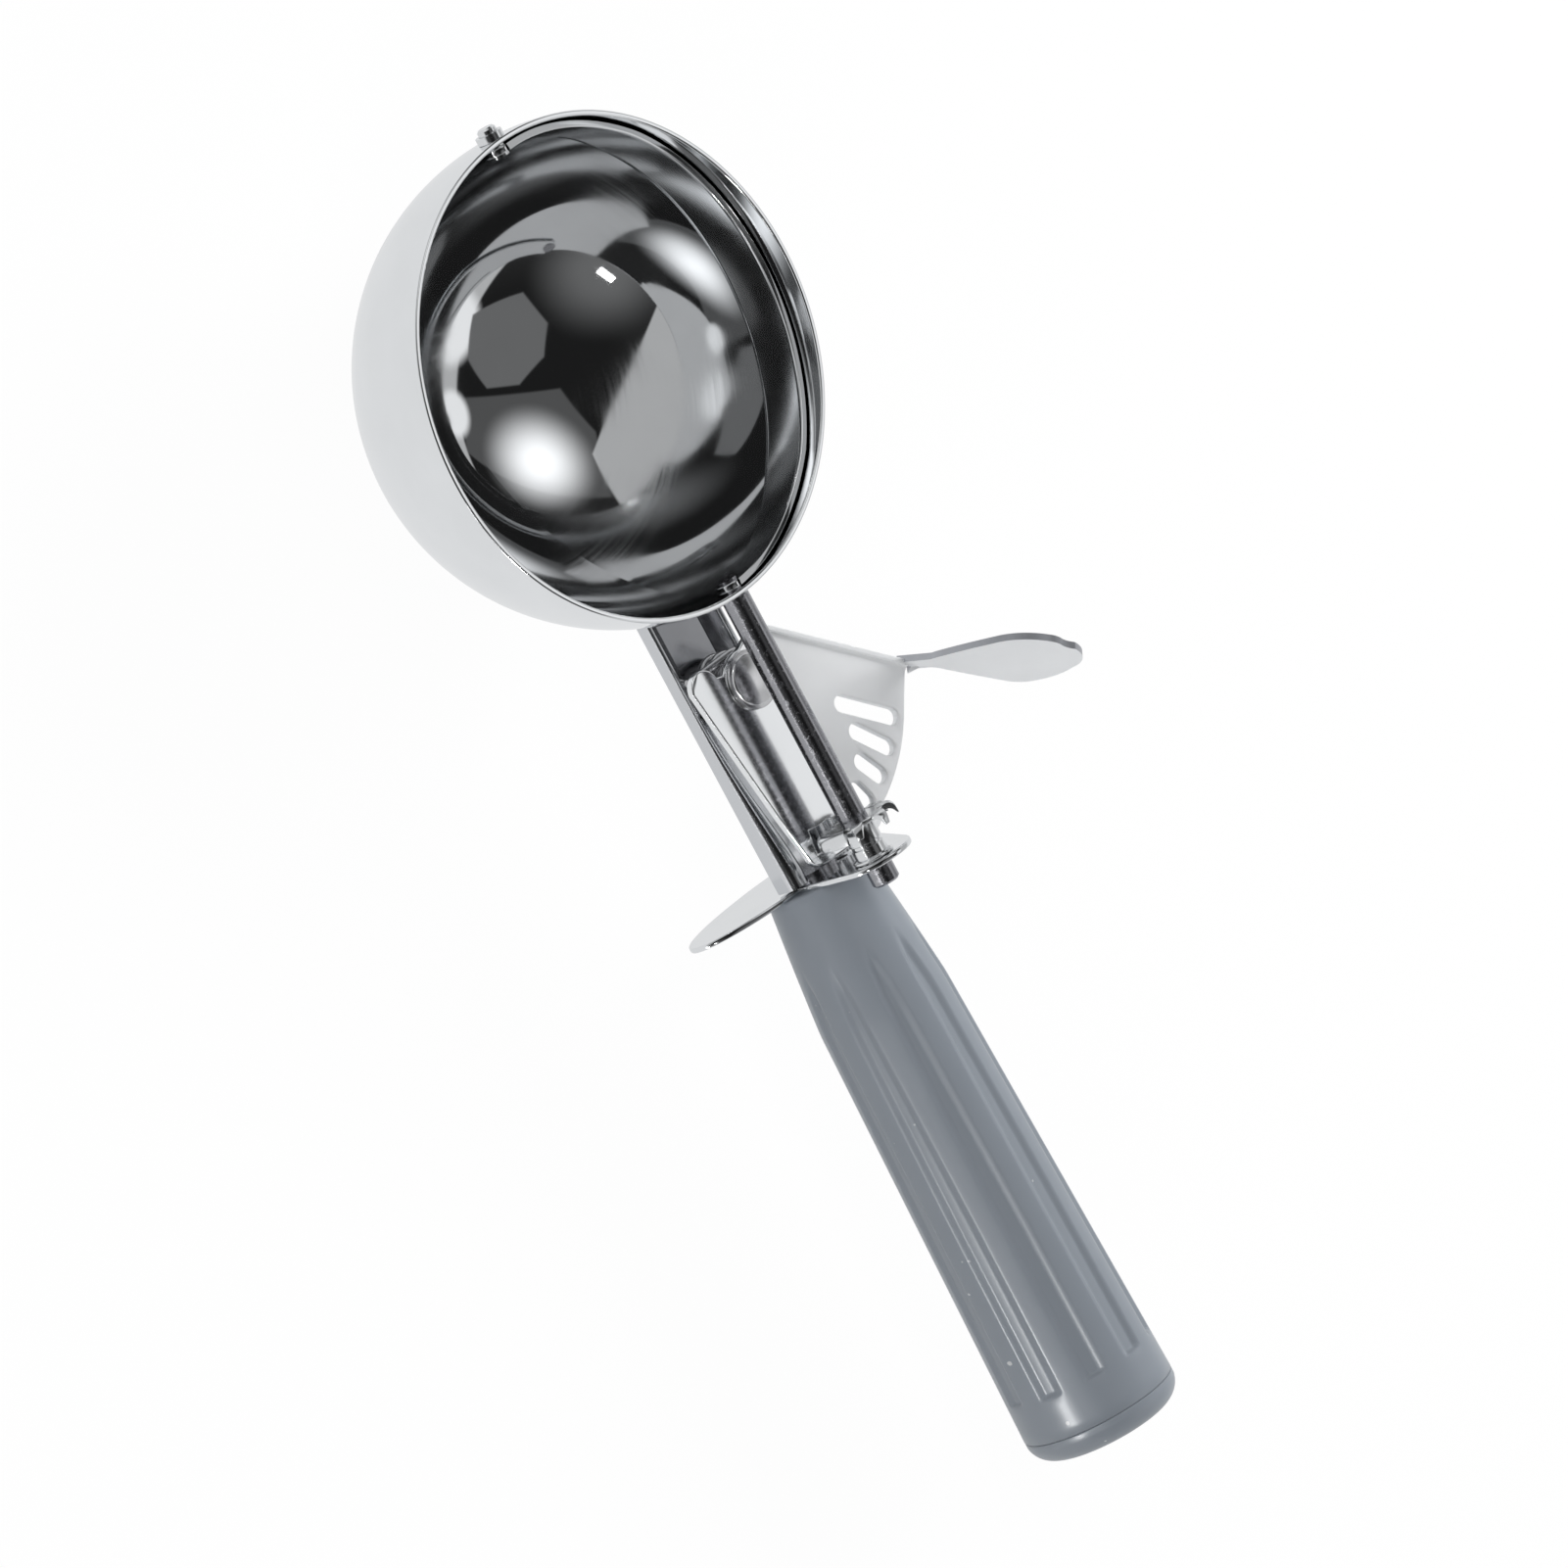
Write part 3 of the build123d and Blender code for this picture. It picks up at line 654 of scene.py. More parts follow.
def frame_at(origin: Point, across: Point = (1.0, 0.0, 0.0), along: Point = (0.0, 1.0, 0.0)) -> Matrix:
    """Makes a frame in which a piece is placed.

    Args:
        origin: Its origin in mm.
        across: Its X direction.
        along: Its Y direction.

    Returns:
        The frame.
    """
    x, y = Vector(across).normalized(), Vector(along).normalized()
    z = x.cross(y)
    rows = [(x[row], y[row], z[row], origin[row] * MM) for row in range(3)]
    return Matrix((*rows, (0.0, 0.0, 0.0, 1.0)))


def spin(steps: int, angle: float, axis: Point = (1.0, 0.0, 0.0), centre: Point = (0.0, 0.0, 0.0)) -> None:
    """Spins what is selected in edit mode."""
    bpy.ops.mesh.spin(steps=steps, angle=angle, center=centre, axis=axis)


def bevel(piece: Piece, width: float, angle: float) -> None:
    """Rounds a piece's edges by a width in mm, where they are sharper than an angle in degrees."""
    limit = math.radians(angle)
    modify(piece, "BEVEL", width=width * MM, segments=2, limit_method="ANGLE", angle_limit=limit)


def clamp(value: float) -> float:
    """Keeps a share between none and all."""
    return max(0.0, min(1.0, value))


def turned_x(degrees: float) -> Matrix:
    """A turn round the X axis."""
    return Matrix.Rotation(math.radians(degrees), 4, "X")


def draw_along(draw: Callable[..., object], start: float, stations: Sequence[float]) -> None:
    """Extrudes what is selected in edit mode along X, from station to station.

    Args:
        draw: The extrude operator.
        start: Where it starts, in mm.
        stations: Where each extrusion ends, in mm.
    """
    here = start
    for station in stations:
        draw(TRANSFORM_OT_translate={"value": ((station - here) * MM, 0.0, 0.0)})
        here = station


def shape(piece: Piece, rule: Callable[[Vector], Vector]) -> None:
    """Moves each point of a piece to where a rule puts it.

    Args:
        piece: The piece.
        rule: Gives the new place of a point from its old one, both in mm.
    """
    for vertex in piece.data.vertices:
        vertex.co = rule(vertex.co / MM) * MM
    piece.data.update()


@dataclass(frozen=True)
class Run:
    """One stretch of a line: straight to its end, or an arc through another point."""

    end: Pair
    via: Pair | None = None
    steps: int = 8

    def arc(self, start: Pair) -> tuple[Vector, float]:
        """The arc's centre and its signed angle.

        Args:
            start: Where the stretch begins.

        Returns:
            The centre and the angle, positive anticlockwise.
        """
        a, b, c = (Vector((*point, 0.0)) for point in (start, self.via, self.end))
        first, second = b - a, c - a
        cross = first.x * second.y - first.y * second.x
        lift = (first.length_squared * Vector((-second.y, second.x, 0.0))
                - second.length_squared * Vector((-first.y, first.x, 0.0)))
        centre = a + lift / (-2.0 * cross)
        from_start, to_end = a - centre, c - centre
        angle = math.atan2(from_start.x * to_end.y - from_start.y * to_end.x, from_start.dot(to_end))
        if cross > 0.0 and angle < 0.0:
            angle += 2.0 * math.pi
        if cross < 0.0 and angle > 0.0:
            angle -= 2.0 * math.pi
        return centre, angle


@dataclass(frozen=True)
class Line:
    """A line on the XY plane in mm, drawn by extruding and spinning its end point."""

    start: Pair
    runs: Sequence[Run]

    def draw(self) -> Piece:
        """Draws the line.

        Returns:
            A mesh of edges, closed where the last run ends at the start.
        """
        bpy.ops.object.select_all(action="DESELECT")
        bpy.ops.mesh.primitive_plane_add(size=MM)
        drawn = bpy.context.object
        with editing(drawn):
            bpy.ops.mesh.merge(type="CENTER")
            bpy.ops.transform.translate(value=(self.start[0] * MM, self.start[1] * MM, 0.0))
            here = self.start
            for run in self.runs:
                if run.via is None:
                    step = ((run.end[0] - here[0]) * MM, (run.end[1] - here[1]) * MM, 0.0)
                    bpy.ops.mesh.extrude_vertices_move(TRANSFORM_OT_translate={"value": step})
                else:
                    centre, angle = run.arc(here)
                    spin(run.steps, -angle, (0.0, 0.0, 1.0), tuple(centre * MM))
                here = run.end
            bpy.ops.mesh.select_all(action="SELECT")
            bpy.ops.mesh.remove_doubles(threshold=0.000002)
        return drawn

    def lathe(self, steps: int, angle: float = 360.0) -> Piece:
        """Turns the line round the X axis, anticlockwise seen from +X.

        Args:
            steps: How many steps the turn has.
            angle: How far it turns, in degrees.

        Returns:
            The turned mesh.
        """
        turned = self.draw()
        with editing(turned):
            spin(steps, -math.radians(angle))
        tidy(turned)
        return turned

    def prism(self, length: float) -> Piece:
        """Fills the line and extrudes it along Z.

        Args:
            length: How far, in mm.

        Returns:
            The solid.
        """
        solid = self.draw()
        with editing(solid):
            bpy.ops.mesh.edge_face_add()
            bpy.ops.mesh.extrude_region_move(TRANSFORM_OT_translate={"value": (0.0, 0.0, length * MM)})
        tidy(solid)
        return solid


def circle(radius: float, x: float = 0.0, y: float = 0.0) -> Line:
    """A closed round line."""
    half = Run((x - radius, y), (x, y + radius), 24)
    return Line((x + radius, y), (half, Run((x + radius, y), (x, y - radius), 24)))


def stamp(lines: Sequence[Line], thickness: float, edge: float) -> Piece:
    """Stamps a sheet on the XY plane, with rounded edges.

    Args:
        lines: The rim's line and those of the holes.
        thickness: The sheet's thickness in mm, half on each side of the plane.
        edge: How far its edges are rounded, in mm.

    Returns:
        The sheet.
    """
    sheet = join([line.draw() for line in lines])
    bpy.ops.object.convert(target="CURVE")
    outline = bpy.context.object.data
    outline.dimensions = "2D"
    outline.fill_mode = "BOTH"
    outline.extrude = (thickness / 2.0 - edge) * MM
    outline.bevel_depth = edge * MM
    outline.bevel_resolution = 2
    outline.offset = -edge * MM
    bpy.ops.object.convert(target="MESH")
    sheet = bpy.context.object
    tidy(sheet)
    return sheet


@dataclass
class Assembly:
    """What every sub-assembly shares: the body it rides on, and how a piece is finished."""

    body: str = "frame"

    def finish(self, piece: Piece, name: str, node: str, slot: str, look: str,
               smooth: float = 32.0, flat: bool = False) -> Piece:
        """Names, smooths and dresses a piece, and gives it the place of its node.

        Args:
            piece: The modelled piece.
            name: Its name.
            node: The node of the model that it stands for.
            slot: Not used.
            look: The name of its finish, where it has none yet.
            smooth: Edges flatter than this angle in degrees are shaded smooth.
            flat: Whether its large faces keep their own direction right up to their rounded edges.

        Returns:
            The piece.
        """
        piece.name = name
        piece.data.name = name
        pick(piece)
        bpy.ops.object.shade_smooth_by_angle(angle=math.radians(smooth))
        if flat:
            modify(piece, "WEIGHTED_NORMAL", keep_sharp=True, weight=100)
        if not piece.data.materials:
            piece.data.materials.append(MATERIALS[look])
        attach(piece, self.body)
        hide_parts(node)
        LOG.info("%s: %d faces", name, len(piece.data.polygons))
        return piece


@dataclass
class Lever(Assembly):
    """Thumb lever: slotted sheet, turned-up flange and dished pad, with the hole for the rivet that it turns
    on.
    """

    body: str = "lever"
    pivot_x: float = -117.3
    top: float = 7.6
    thickness: float = 1.2
    edge: float = 0.26
    reach: float = 27.2
    arc_start: float = -9.0
    arc_end: float = 50.0
    slots: int = 5
    slot_width: float = 2.4
    slot_out: float = 26.0
    slot_in: float = 21.9
    slot_growth: float = 0.44
    slot_first: float = -1.0
    slot_step: float = 10.2
    window: tuple[float, float, float, float] = (22.2, 25.6, -8.9, 2.2)
    corner: Pair = (11.1, 25.8)
    flange_start: Pair = (-6.2, 4.75)
    flange_room: float = 0.3
    flange_rise: float = 0.6
    flange_out: float = -0.35
    flange_short: float = 0.6
    shaft_z: float = 13.0
    rivet_hole: float = 1.84
    pad_thickness: float = 1.0
    pad_bevel: Pair = (0.16, 55.0)
    dish: float = 90.0
    dish_middle: Pair = (8.0, 8.0)
    dish_depth: float = 88.4
    ring_centre: Pair = (0.9, 5.0)
    rings: Sequence[float] = (0.94, 0.8, 0.65, 0.5, 0.35, 0.2, 0.08)

    def polar(self, radius: float, angle: float) -> Pair:
        """A place round the pivot from a radius and an angle in degrees."""
        turn = math.radians(angle)
        return radius * math.cos(turn), radius * math.sin(turn)

    def run(self) -> tuple[Vector, Vector]:
        """Direction along the flange and the one from it towards the slots."""
        along = (Vector(self.corner) - Vector(self.flange_start)).normalized()
        return along, Vector((along.y, -along.x))

    def rim(self) -> Line:
        """Draws the sheet's rim, set back where the flange's bend stands.

        Returns:
            The outline.
        """
        _, inward = self.run()
        corner = tuple(Vector(self.corner) + inward * self.flange_room)
        start = tuple(Vector(self.flange_start) + inward * self.flange_room)
        middle = (self.arc_start + self.arc_end) / 2.0
        first = self.polar(self.reach, self.arc_start)
        return Line(first, (
            Run(self.polar(self.reach, self.arc_end), self.polar(self.reach, middle), 48),
            Run(corner), Run(start), Run((-4.4, 0.6)), Run((-2.7, -3.9), (-4.0, -1.9)), Run((-3.0, -5.0)),
            Run((-2.9, -10.2), (-5.2, -7.9), 14), Run((18.0, -7.1)), Run((25.0, -5.8)),
            Run(first, (26.2, -5.3))))

    def slot(self, index: int) -> Line:
        """Draws one slot with round ends.

        Args:
            index: Which one, counted from the shaft.

        Returns:
            Its outline.
        """
        half = self.slot_width / 2.0
        inner = self.slot_in - self.slot_growth * index ** 2 + half
        outer = self.slot_out - half
        turn = math.radians(self.slot_first + self.slot_step * (index + 1))
        cos, sin = math.cos(turn), math.sin(turn)

        def at(along: float, across: float) -> Pair:
            """A place counted along and across the slot."""
            return along * cos - across * sin, along * sin + across * cos

        return Line(at(inner, -half), (
            Run(at(outer, -half)), Run(at(outer, half), at(outer + half, 0.0), 12),
            Run(at(inner, half)), Run(at(inner, -half), at(inner - half, 0.0), 12)))

    def opening(self) -> Line:
        """Draws the window for the pinion's blank stretch.

        Returns:
            Its outline.
        """
        low, high, start, end = self.window
        middle = (start + end) / 2.0
        return Line(self.polar(low, start), (
            Run(self.polar(high, start)), Run(self.polar(high, end), self.polar(high, middle), 12),
            Run(self.polar(low, end)), Run(self.polar(low, start), self.polar(low, middle), 12)))

    def sheet(self) -> Piece:
        """Stamps the slotted sheet.

        Returns:
            The sheet in its place.
        """
        holes = [self.slot(index) for index in range(self.slots)]
        made = stamp([self.rim(), self.opening(), circle(self.rivet_hole), *holes], self.thickness, self.edge)
        middle = (self.pivot_x, 0.0, self.top - self.thickness / 2.0)
        return settle(made, frame_at(middle))

    def flange(self) -> Piece:
        """Extrudes the bent-up edge with a round bend on both sides.

        Returns:
            The flange in its place.
        """
        along, inward = self.run()
        out, top = self.flange_out, self.top
        low, high = top - self.thickness, top + self.flange_rise
        section = Line((out + 1.4, low + 0.02), (
            Run((out + 1.4, top + 0.012)), Run((out + 0.85, top + 0.4), (out + 1.0, top + 0.13), 8),
            Run((out + 0.75, high - 0.1), (out + 0.83, high - 0.04), 3), Run((out + 0.65, high)),
            Run((out + 0.25, high)), Run((out, high - 0.25), (out + 0.07, high - 0.07), 4),
            Run((out, low + 1.1)), Run((out + 1.1, low + 0.02), (out + 0.32, low + 0.34), 8),
            Run((out + 1.4, low + 0.02))))
        length = (Vector(self.corner) - Vector(self.flange_start)).length
        made = section.prism(length - self.flange_short)
        origin = (self.pivot_x + self.corner[0], self.corner[1], 0.0)
        return settle(made, frame_at(origin, (*inward, 0.0), (0.0, 0.0, 1.0)))

    def leaf(self) -> Line:
        """Draws the pad's outline: x runs on past the corner, y rises from the shaft's height.

        Returns:
            The outline.
        """
        return Line((-0.9, -6.6), (
            Run((-0.9, 1.0)), Run((-0.4, 14.6), (-1.3, 7.8), 14), Run((4.4, 19.9), (1.3, 18.0), 12),
            Run((6.6, 20.0), (5.5, 20.15), 4), Run((9.4, 19.75), (8.0, 19.62), 6),
            Run((14.4, 13.2), (12.6, 17.5), 14), Run((15.2, 3.4), (15.3, 8.2), 10),
            Run((12.5, 0.9), (14.4, 1.6), 8), Run((2.6, -1.5), (7.0, 0.1), 12),
            Run((1.1, -6.6), (1.5, -3.3), 8), Run((-0.9, -6.6))))

    def pad(self) -> Piece:
        """Draws rings from the pad's outline inwards, dishes them and gives them their thickness.

        Returns:
            The pad in its place, with its face and the cut of its rim dressed.
        """
        made = self.leaf().draw()
        centre = (self.ring_centre[0] * MM, self.ring_centre[1] * MM, 0.0)
        with editing(made):
            last = 1.0
            for ring in self.rings:
                bpy.ops.mesh.extrude_edges_move(TRANSFORM_OT_translate={"value": (0.0, 0.0, 0.0)})
                scale = ring / last
                bpy.ops.transform.resize(value=(scale, scale, 1.0), center_override=centre)
                last = ring
            bpy.ops.mesh.edge_face_add()

        def dished(point: Vector) -> Vector:
            """Lifts a point onto the dish.

            Args:
                point: The point on the pad's plane.

            Returns:
                Its new place.
            """
            away = math.hypot(point.x - self.dish_middle[0], point.y - self.dish_middle[1])
            rise = math.sqrt(self.dish ** 2 - away ** 2) - self.dish_depth
            return Vector((point.x, point.y, rise))

        shape(made, dished)
        tidy(made)
        along, inward = self.run()
        origin = (self.pivot_x + self.corner[0], self.corner[1], self.shaft_z)
        settle(made, frame_at(origin, (*along, 0.0), (0.0, 0.0, 1.0)))
        top = max(made.data.polygons, key=lambda face: face.area)
        outside = 1.0 if top.normal.dot(Vector((*inward, 0.0))) > 0.0 else -1.0
        # The rim's cut takes a rougher steel, like a sheared edge, whose darker colour is painted shade on
        # the edge.
        for look in ("lever", "cut"):
            made.data.materials.append(MATERIALS[look])
        modify(made, "SOLIDIFY", thickness=self.pad_thickness * MM, offset=-outside, material_offset_rim=1)
        bevel(made, *self.pad_bevel)
        return made

    def build(self) -> None:
        """Builds the lever, whose pad's cut rim is a duller steel that is also painted darker as painted
        shade.
        """
        bodies = [self.sheet(), self.flange()]
        for body in bodies:
            body.data.materials.append(MATERIALS["lever"])
        lever = join([*bodies, self.pad()])
        self.finish(lever, "thumb_lever_sheet", "thumb_lever", "lever_steel", "lever", flat=True)


@dataclass
class Pivot(Assembly):
    """The rivet with its low dome, and the washer under its head."""

    x: float = -117.3
    head_z: float = 8.13

    def upright(self, line: Line) -> Piece:
        """Turns a line of heights and radii round the pivot's axis."""
        made = line.lathe(64)
        return settle(made, frame_at((self.x, 0.0, 0.0), (0.0, 0.0, 1.0), (0.0, 1.0, 0.0)))

    def build(self) -> None:
        """Builds the rivet and the washer."""
        z = self.head_z
        rivet = Line((z + 0.65, 0.0), (
            Run((z + 0.3, 3.35), (z + 0.56, 1.8), 10), Run((z + 0.02, 3.7), (z + 0.22, 3.6), 5),
            Run((z, 3.6)), Run((z, 1.8)), Run((-1.5, 1.8)), Run((-1.5, 3.1)),
            Run((-1.7, 3.2), (-1.56, 3.18), 3), Run((-2.3, 0.0), (-2.14, 1.9), 10)))
        self.finish(self.upright(rivet), "rivet_with_domed_head", "pivot_rivet", "rivet_steel", "rivet")
        washer = Line((z, 1.85), (
            Run((z, 4.05)), Run((z - 0.15, 4.2), (z - 0.04, 4.16), 3), Run((z - 0.35, 4.2)),
            Run((z - 0.5, 4.05), (z - 0.46, 4.16), 3), Run((z - 0.5, 1.85)), Run((z, 1.85))))
        self.finish(self.upright(washer), "washer_under_rivet", "pivot_washer", "rivet_steel", "rivet")


@dataclass
class Pinion(Assembly):
    """Star wheel on the shaft with claws bent over like hooks, and a blank lip."""

    body: str = "scraper"
    x: float = -94.4
    z: float = 13.0
    teeth: int = 6
    step: float = 45.0
    first: float = -94.41
    blank_start: float = 152.6
    blank_sweep: float = 91.0
    lip_steps: int = 28
    root: float = 3.4
    claw_reach: float = 6.0
    lip_reach: float = 6.08
    half_root: float = 1.15
    half_tip: float = 0.4
    taper_from: float = 3.9
    taper_slope: float = 0.9
    taper_length: float = 4.0
    lean: float = 0.35
    claw_bevel: Pair = (0.13, 50.0)
    shaft_r: float = 2.02

    def section(self, reach: float) -> Line:
        """Draws the bent section of a claw or lip: x runs along the shaft and y away from it.

        Args:
            reach: How far it stands from the shaft's axis.

        Returns:
            The section.
        """
        return Line((0.0, self.root), (
            Run((0.06, reach - 1.55)), Run((1.25, reach - 0.06), (0.26, reach - 0.5), 10),
            Run((1.9, reach - 0.02)), Run((2.0, reach - 0.22), (2.02, reach - 0.1), 4),
            Run((1.35, reach - 0.58)), Run((0.88, reach - 1.6), (1.0, reach - 0.95), 8),
            Run((0.88, self.root)), Run((0.0, self.root))))

    def claw(self) -> Piece:
        """Extrudes one claw and tapers it to its tip.

        Returns:
            The claw at its first place.
        """
        made = self.section(self.claw_reach).prism(2.0 * self.half_root)

        def tapered(point: Vector) -> Vector:
            """Narrows the claw towards its tip, and leans the tip over.

            Args:
                point: The point on the straight claw.

            Returns:
                Its new place.
            """
            gone = clamp((point.y - self.taper_from + point.x * self.taper_slope) / self.taper_length)
            half = self.half_root + (self.half_tip - self.half_root) * gone
            across = (point.z - self.half_root) / self.half_root * half
            return Vector((point.x, point.y, across + self.lean * gone ** 2))

        shape(made, tapered)
        bevel(made, *self.claw_bevel)
        return settle(made, turned_x(self.first))

    def build(self) -> None:
        """Builds the wheel from its disc, its copied claws and its lip."""
        claw = self.claw()
        claws = [claw]
        for index in range(1, self.teeth):
            pick(claw)
            bpy.ops.object.duplicate()
            copy = bpy.context.object
            claws.append(settle(copy, turned_x(self.step * index)))
        lip = self.section(self.lip_reach).draw()
        with editing(lip):
            spin(self.lip_steps, -math.radians(self.blank_sweep))
            bpy.ops.mesh.select_all(action="SELECT")
            bpy.ops.mesh.select_non_manifold(extend=False)
            bpy.ops.mesh.edge_face_add()
        tidy(lip)
        settle(lip, turned_x(self.blank_start))
        disc = Line((0.1, self.shaft_r), (
            Run((0.1, 4.2)), Run((0.3, 4.45), (0.16, 4.39), 3), Run((0.6, 4.45)),
            Run((0.82, 4.2), (0.75, 4.38), 3), Run((0.82, self.shaft_r)), Run((0.1, self.shaft_r)))).lathe(64)
        wheel = join([disc, lip, *claws])
        settle(wheel, frame_at((self.x, 0.0, self.z)))
        self.finish(wheel, "pinion_star_wheel", "pinion", "sheet_steel", "pinion", flat=True)


@dataclass
class Shank(Assembly):
    """Open tray whose walls roll inwards, from the bowl to the guard, and the bush in the guard."""

    half: float = 6.7
    bottom: float = -1.5
    sheet: float = 0.9
    roll: float = 1.9
    bore: float = 0.85
    roll_z: float = 1.05
    bend: float = 1.1
    end_x: float = -88.6
    roll_x: float = -90.5
    tip_x: float = -117.8
    plain_x: float = -122.0
    bowl_x: float = -164.8
    bowl_reach: float = 36.4
    shaft_z: float = 13.0
    curl: float = 235.0
    tip_scale: float = 0.24
    easing: int = 18
    ease_power: float = 1.4

    def side(self, sign: float) -> list[Run]:
        """Draws one wall from the floor's outside round its roll to the floor's inside.

        Args:
            sign: The wall's side, 1 or -1.

        Returns:
            Its runs.
        """
        out, inner, bottom = self.half, self.half - self.sheet, self.bottom
        centre = self.half - self.roll
        end = math.radians(self.curl)
        mid = math.radians(self.curl / 2.0)

        def ring(radius: float, angle: float) -> Pair:
            """A place on the wall's roll."""
            return sign * (centre + radius * math.cos(angle)), self.roll_z + radius * math.sin(angle)

        corner = self.bend * (1.0 - math.sqrt(0.5))
        floor_top = bottom + self.sheet
        return [
            Run((sign * (out - self.bend), bottom)),
            Run((sign * out, bottom + self.bend), (sign * (out - corner), bottom + corner), 6),
            Run((sign * out, self.roll_z)), Run(ring(self.roll, end), ring(self.roll, mid), 26),
            Run(ring(self.bore, end)), Run((sign * inner, self.roll_z), ring(self.bore, mid), 20),
            Run((sign * inner, floor_top + 0.3)),
            Run((sign * (inner - 0.3), floor_top), (sign * (inner - 0.09), floor_top + 0.09), 3)]

    def section(self) -> Line:
        """Joins both walls to the tray's whole section.

        Returns:
            The section.
        """
        right = self.side(1.0)
        left = self.side(-1.0)
        points = [(0.0, self.bottom)] + [run.end for run in left]
        back = []
        for index in range(len(left) - 1, -1, -1):
            run = left[index]
            back.append(Run(points[index], run.via, run.steps))
        inside = Run(points[-1])
        return Line((0.0, self.bottom), (*right, inside, *back))

    def tray(self) -> Piece:
        """Extrudes the section from the guard to the bowl and lets its rolls shrink to plain walls.

        Returns:
            The tray.
        """
        made = self.section().draw()
        settle(made, frame_at((self.end_x, 0.0, 0.0), *FACING_X))
        length = self.roll_x - self.tip_x
        stations = [self.roll_x - length * step / self.easing for step in range(self.easing + 1)]
        stations += [self.plain_x, self.bowl_x + self.bowl_reach]
        with editing(made):
            bpy.ops.mesh.edge_face_add()
            bpy.ops.mesh.select_all(action="SELECT")
            draw_along(bpy.ops.mesh.extrude_region_move, self.end_x, stations)
        centre = self.half - self.roll
        wall = self.half - self.sheet / 2.0

        def rolled(point: Vector) -> Vector:
            """Shrinks the roll at its station, and fits the tray's end to the bowl.

            Args:
                point: The point on the even tray.

            Returns:
                Its new place.
            """
            gone = clamp((self.roll_x - point.x) / length)
            ease = math.sin(gone * math.pi / 2.0) ** self.ease_power
            sign = 1.0 if point.y > 0.0 else -1.0
            near = math.hypot(abs(point.y) - centre, point.z - self.roll_z) < self.roll + 0.01
            if near and point.z > self.bottom + self.sheet + 0.15 and ease > 0.0:
                scale = 1.0 + (self.tip_scale - 1.0) * ease
                home = centre + (wall - centre) * ease
                across = home + (abs(point.y) - centre) * scale
                point = Vector((point.x, sign * across, self.roll_z + (point.z - self.roll_z) * scale))
            if point.x < self.plain_x - 1.0:
                over = self.bowl_reach ** 2 - point.y ** 2 - (point.z - self.shaft_z) ** 2
                point.x = self.bowl_x + math.sqrt(over) + 0.02
            return point

        shape(made, rolled)
        tidy(made, 0.0000005)
        return made

    def bush(self) -> Piece:
        """Turns the bush in the guard with its collar and rounded ends.

        Returns:
            The bush in its place.
        """
        made = Line((-93.35, 2.05), (
            Run((-93.35, 2.2)), Run((-93.15, 2.4), (-93.29, 2.34), 3), Run((-90.9, 2.4)), Run((-90.75, 2.22)),
            Run((-90.4, 2.22)), Run((-90.25, 2.4)), Run((-88.9, 2.4)), Run((-88.75, 2.95)),
            Run((-88.4, 2.95), (-88.57, 3.02), 4), Run((-88.35, 2.4)), Run((-87.3, 2.4)),
            Run((-87.1, 2.2), (-87.16, 2.34), 3), Run((-87.1, 2.05)), Run((-93.35, 2.05)))).lathe(64)
        return settle(made, frame_at((0.0, 0.0, self.shaft_z)))

    def build(self) -> None:
        """Builds the tray and the bush."""
        self.finish(self.tray(), "shank_tray", "shank_channel", "sheet_steel", "tray", 40.0, flat=True)
        self.finish(self.bush(), "guard_bush", "guard_bushing", "rivet_steel", "bush")


@dataclass
class Guard(Assembly):
    """Oval finger guard with a tongue that rises to the shaft."""

    x: float = -87.9
    thickness: float = 0.8
    edge: float = 0.22
    half_y: float = 19.4
    half_z: float = 7.8
    oval_z: float = -6.5
    shaft_z: float = 13.0
    joint_left: float = -4.9
    joint_right: float = 11.52
    hole: float = 2.42
    tang: float = 3.02
    steps: int = 96

    def oval(self, angle: float) -> Pair:
        """A place on the oval's edge."""
        return self.half_y * math.cos(angle), self.oval_z + self.half_z * math.sin(angle)

    def rim(self) -> Line:
        """Draws the rim, from the tongue's left foot over its top and round the oval.

        Returns:
            The outline.
        """
        start = math.acos(self.joint_right / self.half_y)
        end = math.acos(self.joint_left / self.half_y) - 2.0 * math.pi
        left = self.oval(end)
        turns = [start + (end - start) * step / self.steps for step in range(self.steps + 1)]
        edge = [Run(self.oval(turn)) for turn in turns]
        edge[-1] = Run(left)
        z = self.shaft_z
        return Line(left, (Run((self.joint_left, z + 0.3)), Run((6.5, z + 0.6), (0.6, z + 4.3), 30),
                           Run((11.0, z - 10.0)), *edge))

    def build(self) -> None:
        """Builds the guard."""
        holes = [circle(self.hole, 0.0, self.shaft_z), circle(self.tang)]
        made = stamp([self.rim(), *holes], self.thickness, self.edge)
        settle(made, frame_at((self.x, 0.0, 0.0), *FACING_X))
        self.finish(made, "oval_finger_guard", "finger_guard", "sheet_steel", "guard", flat=True)


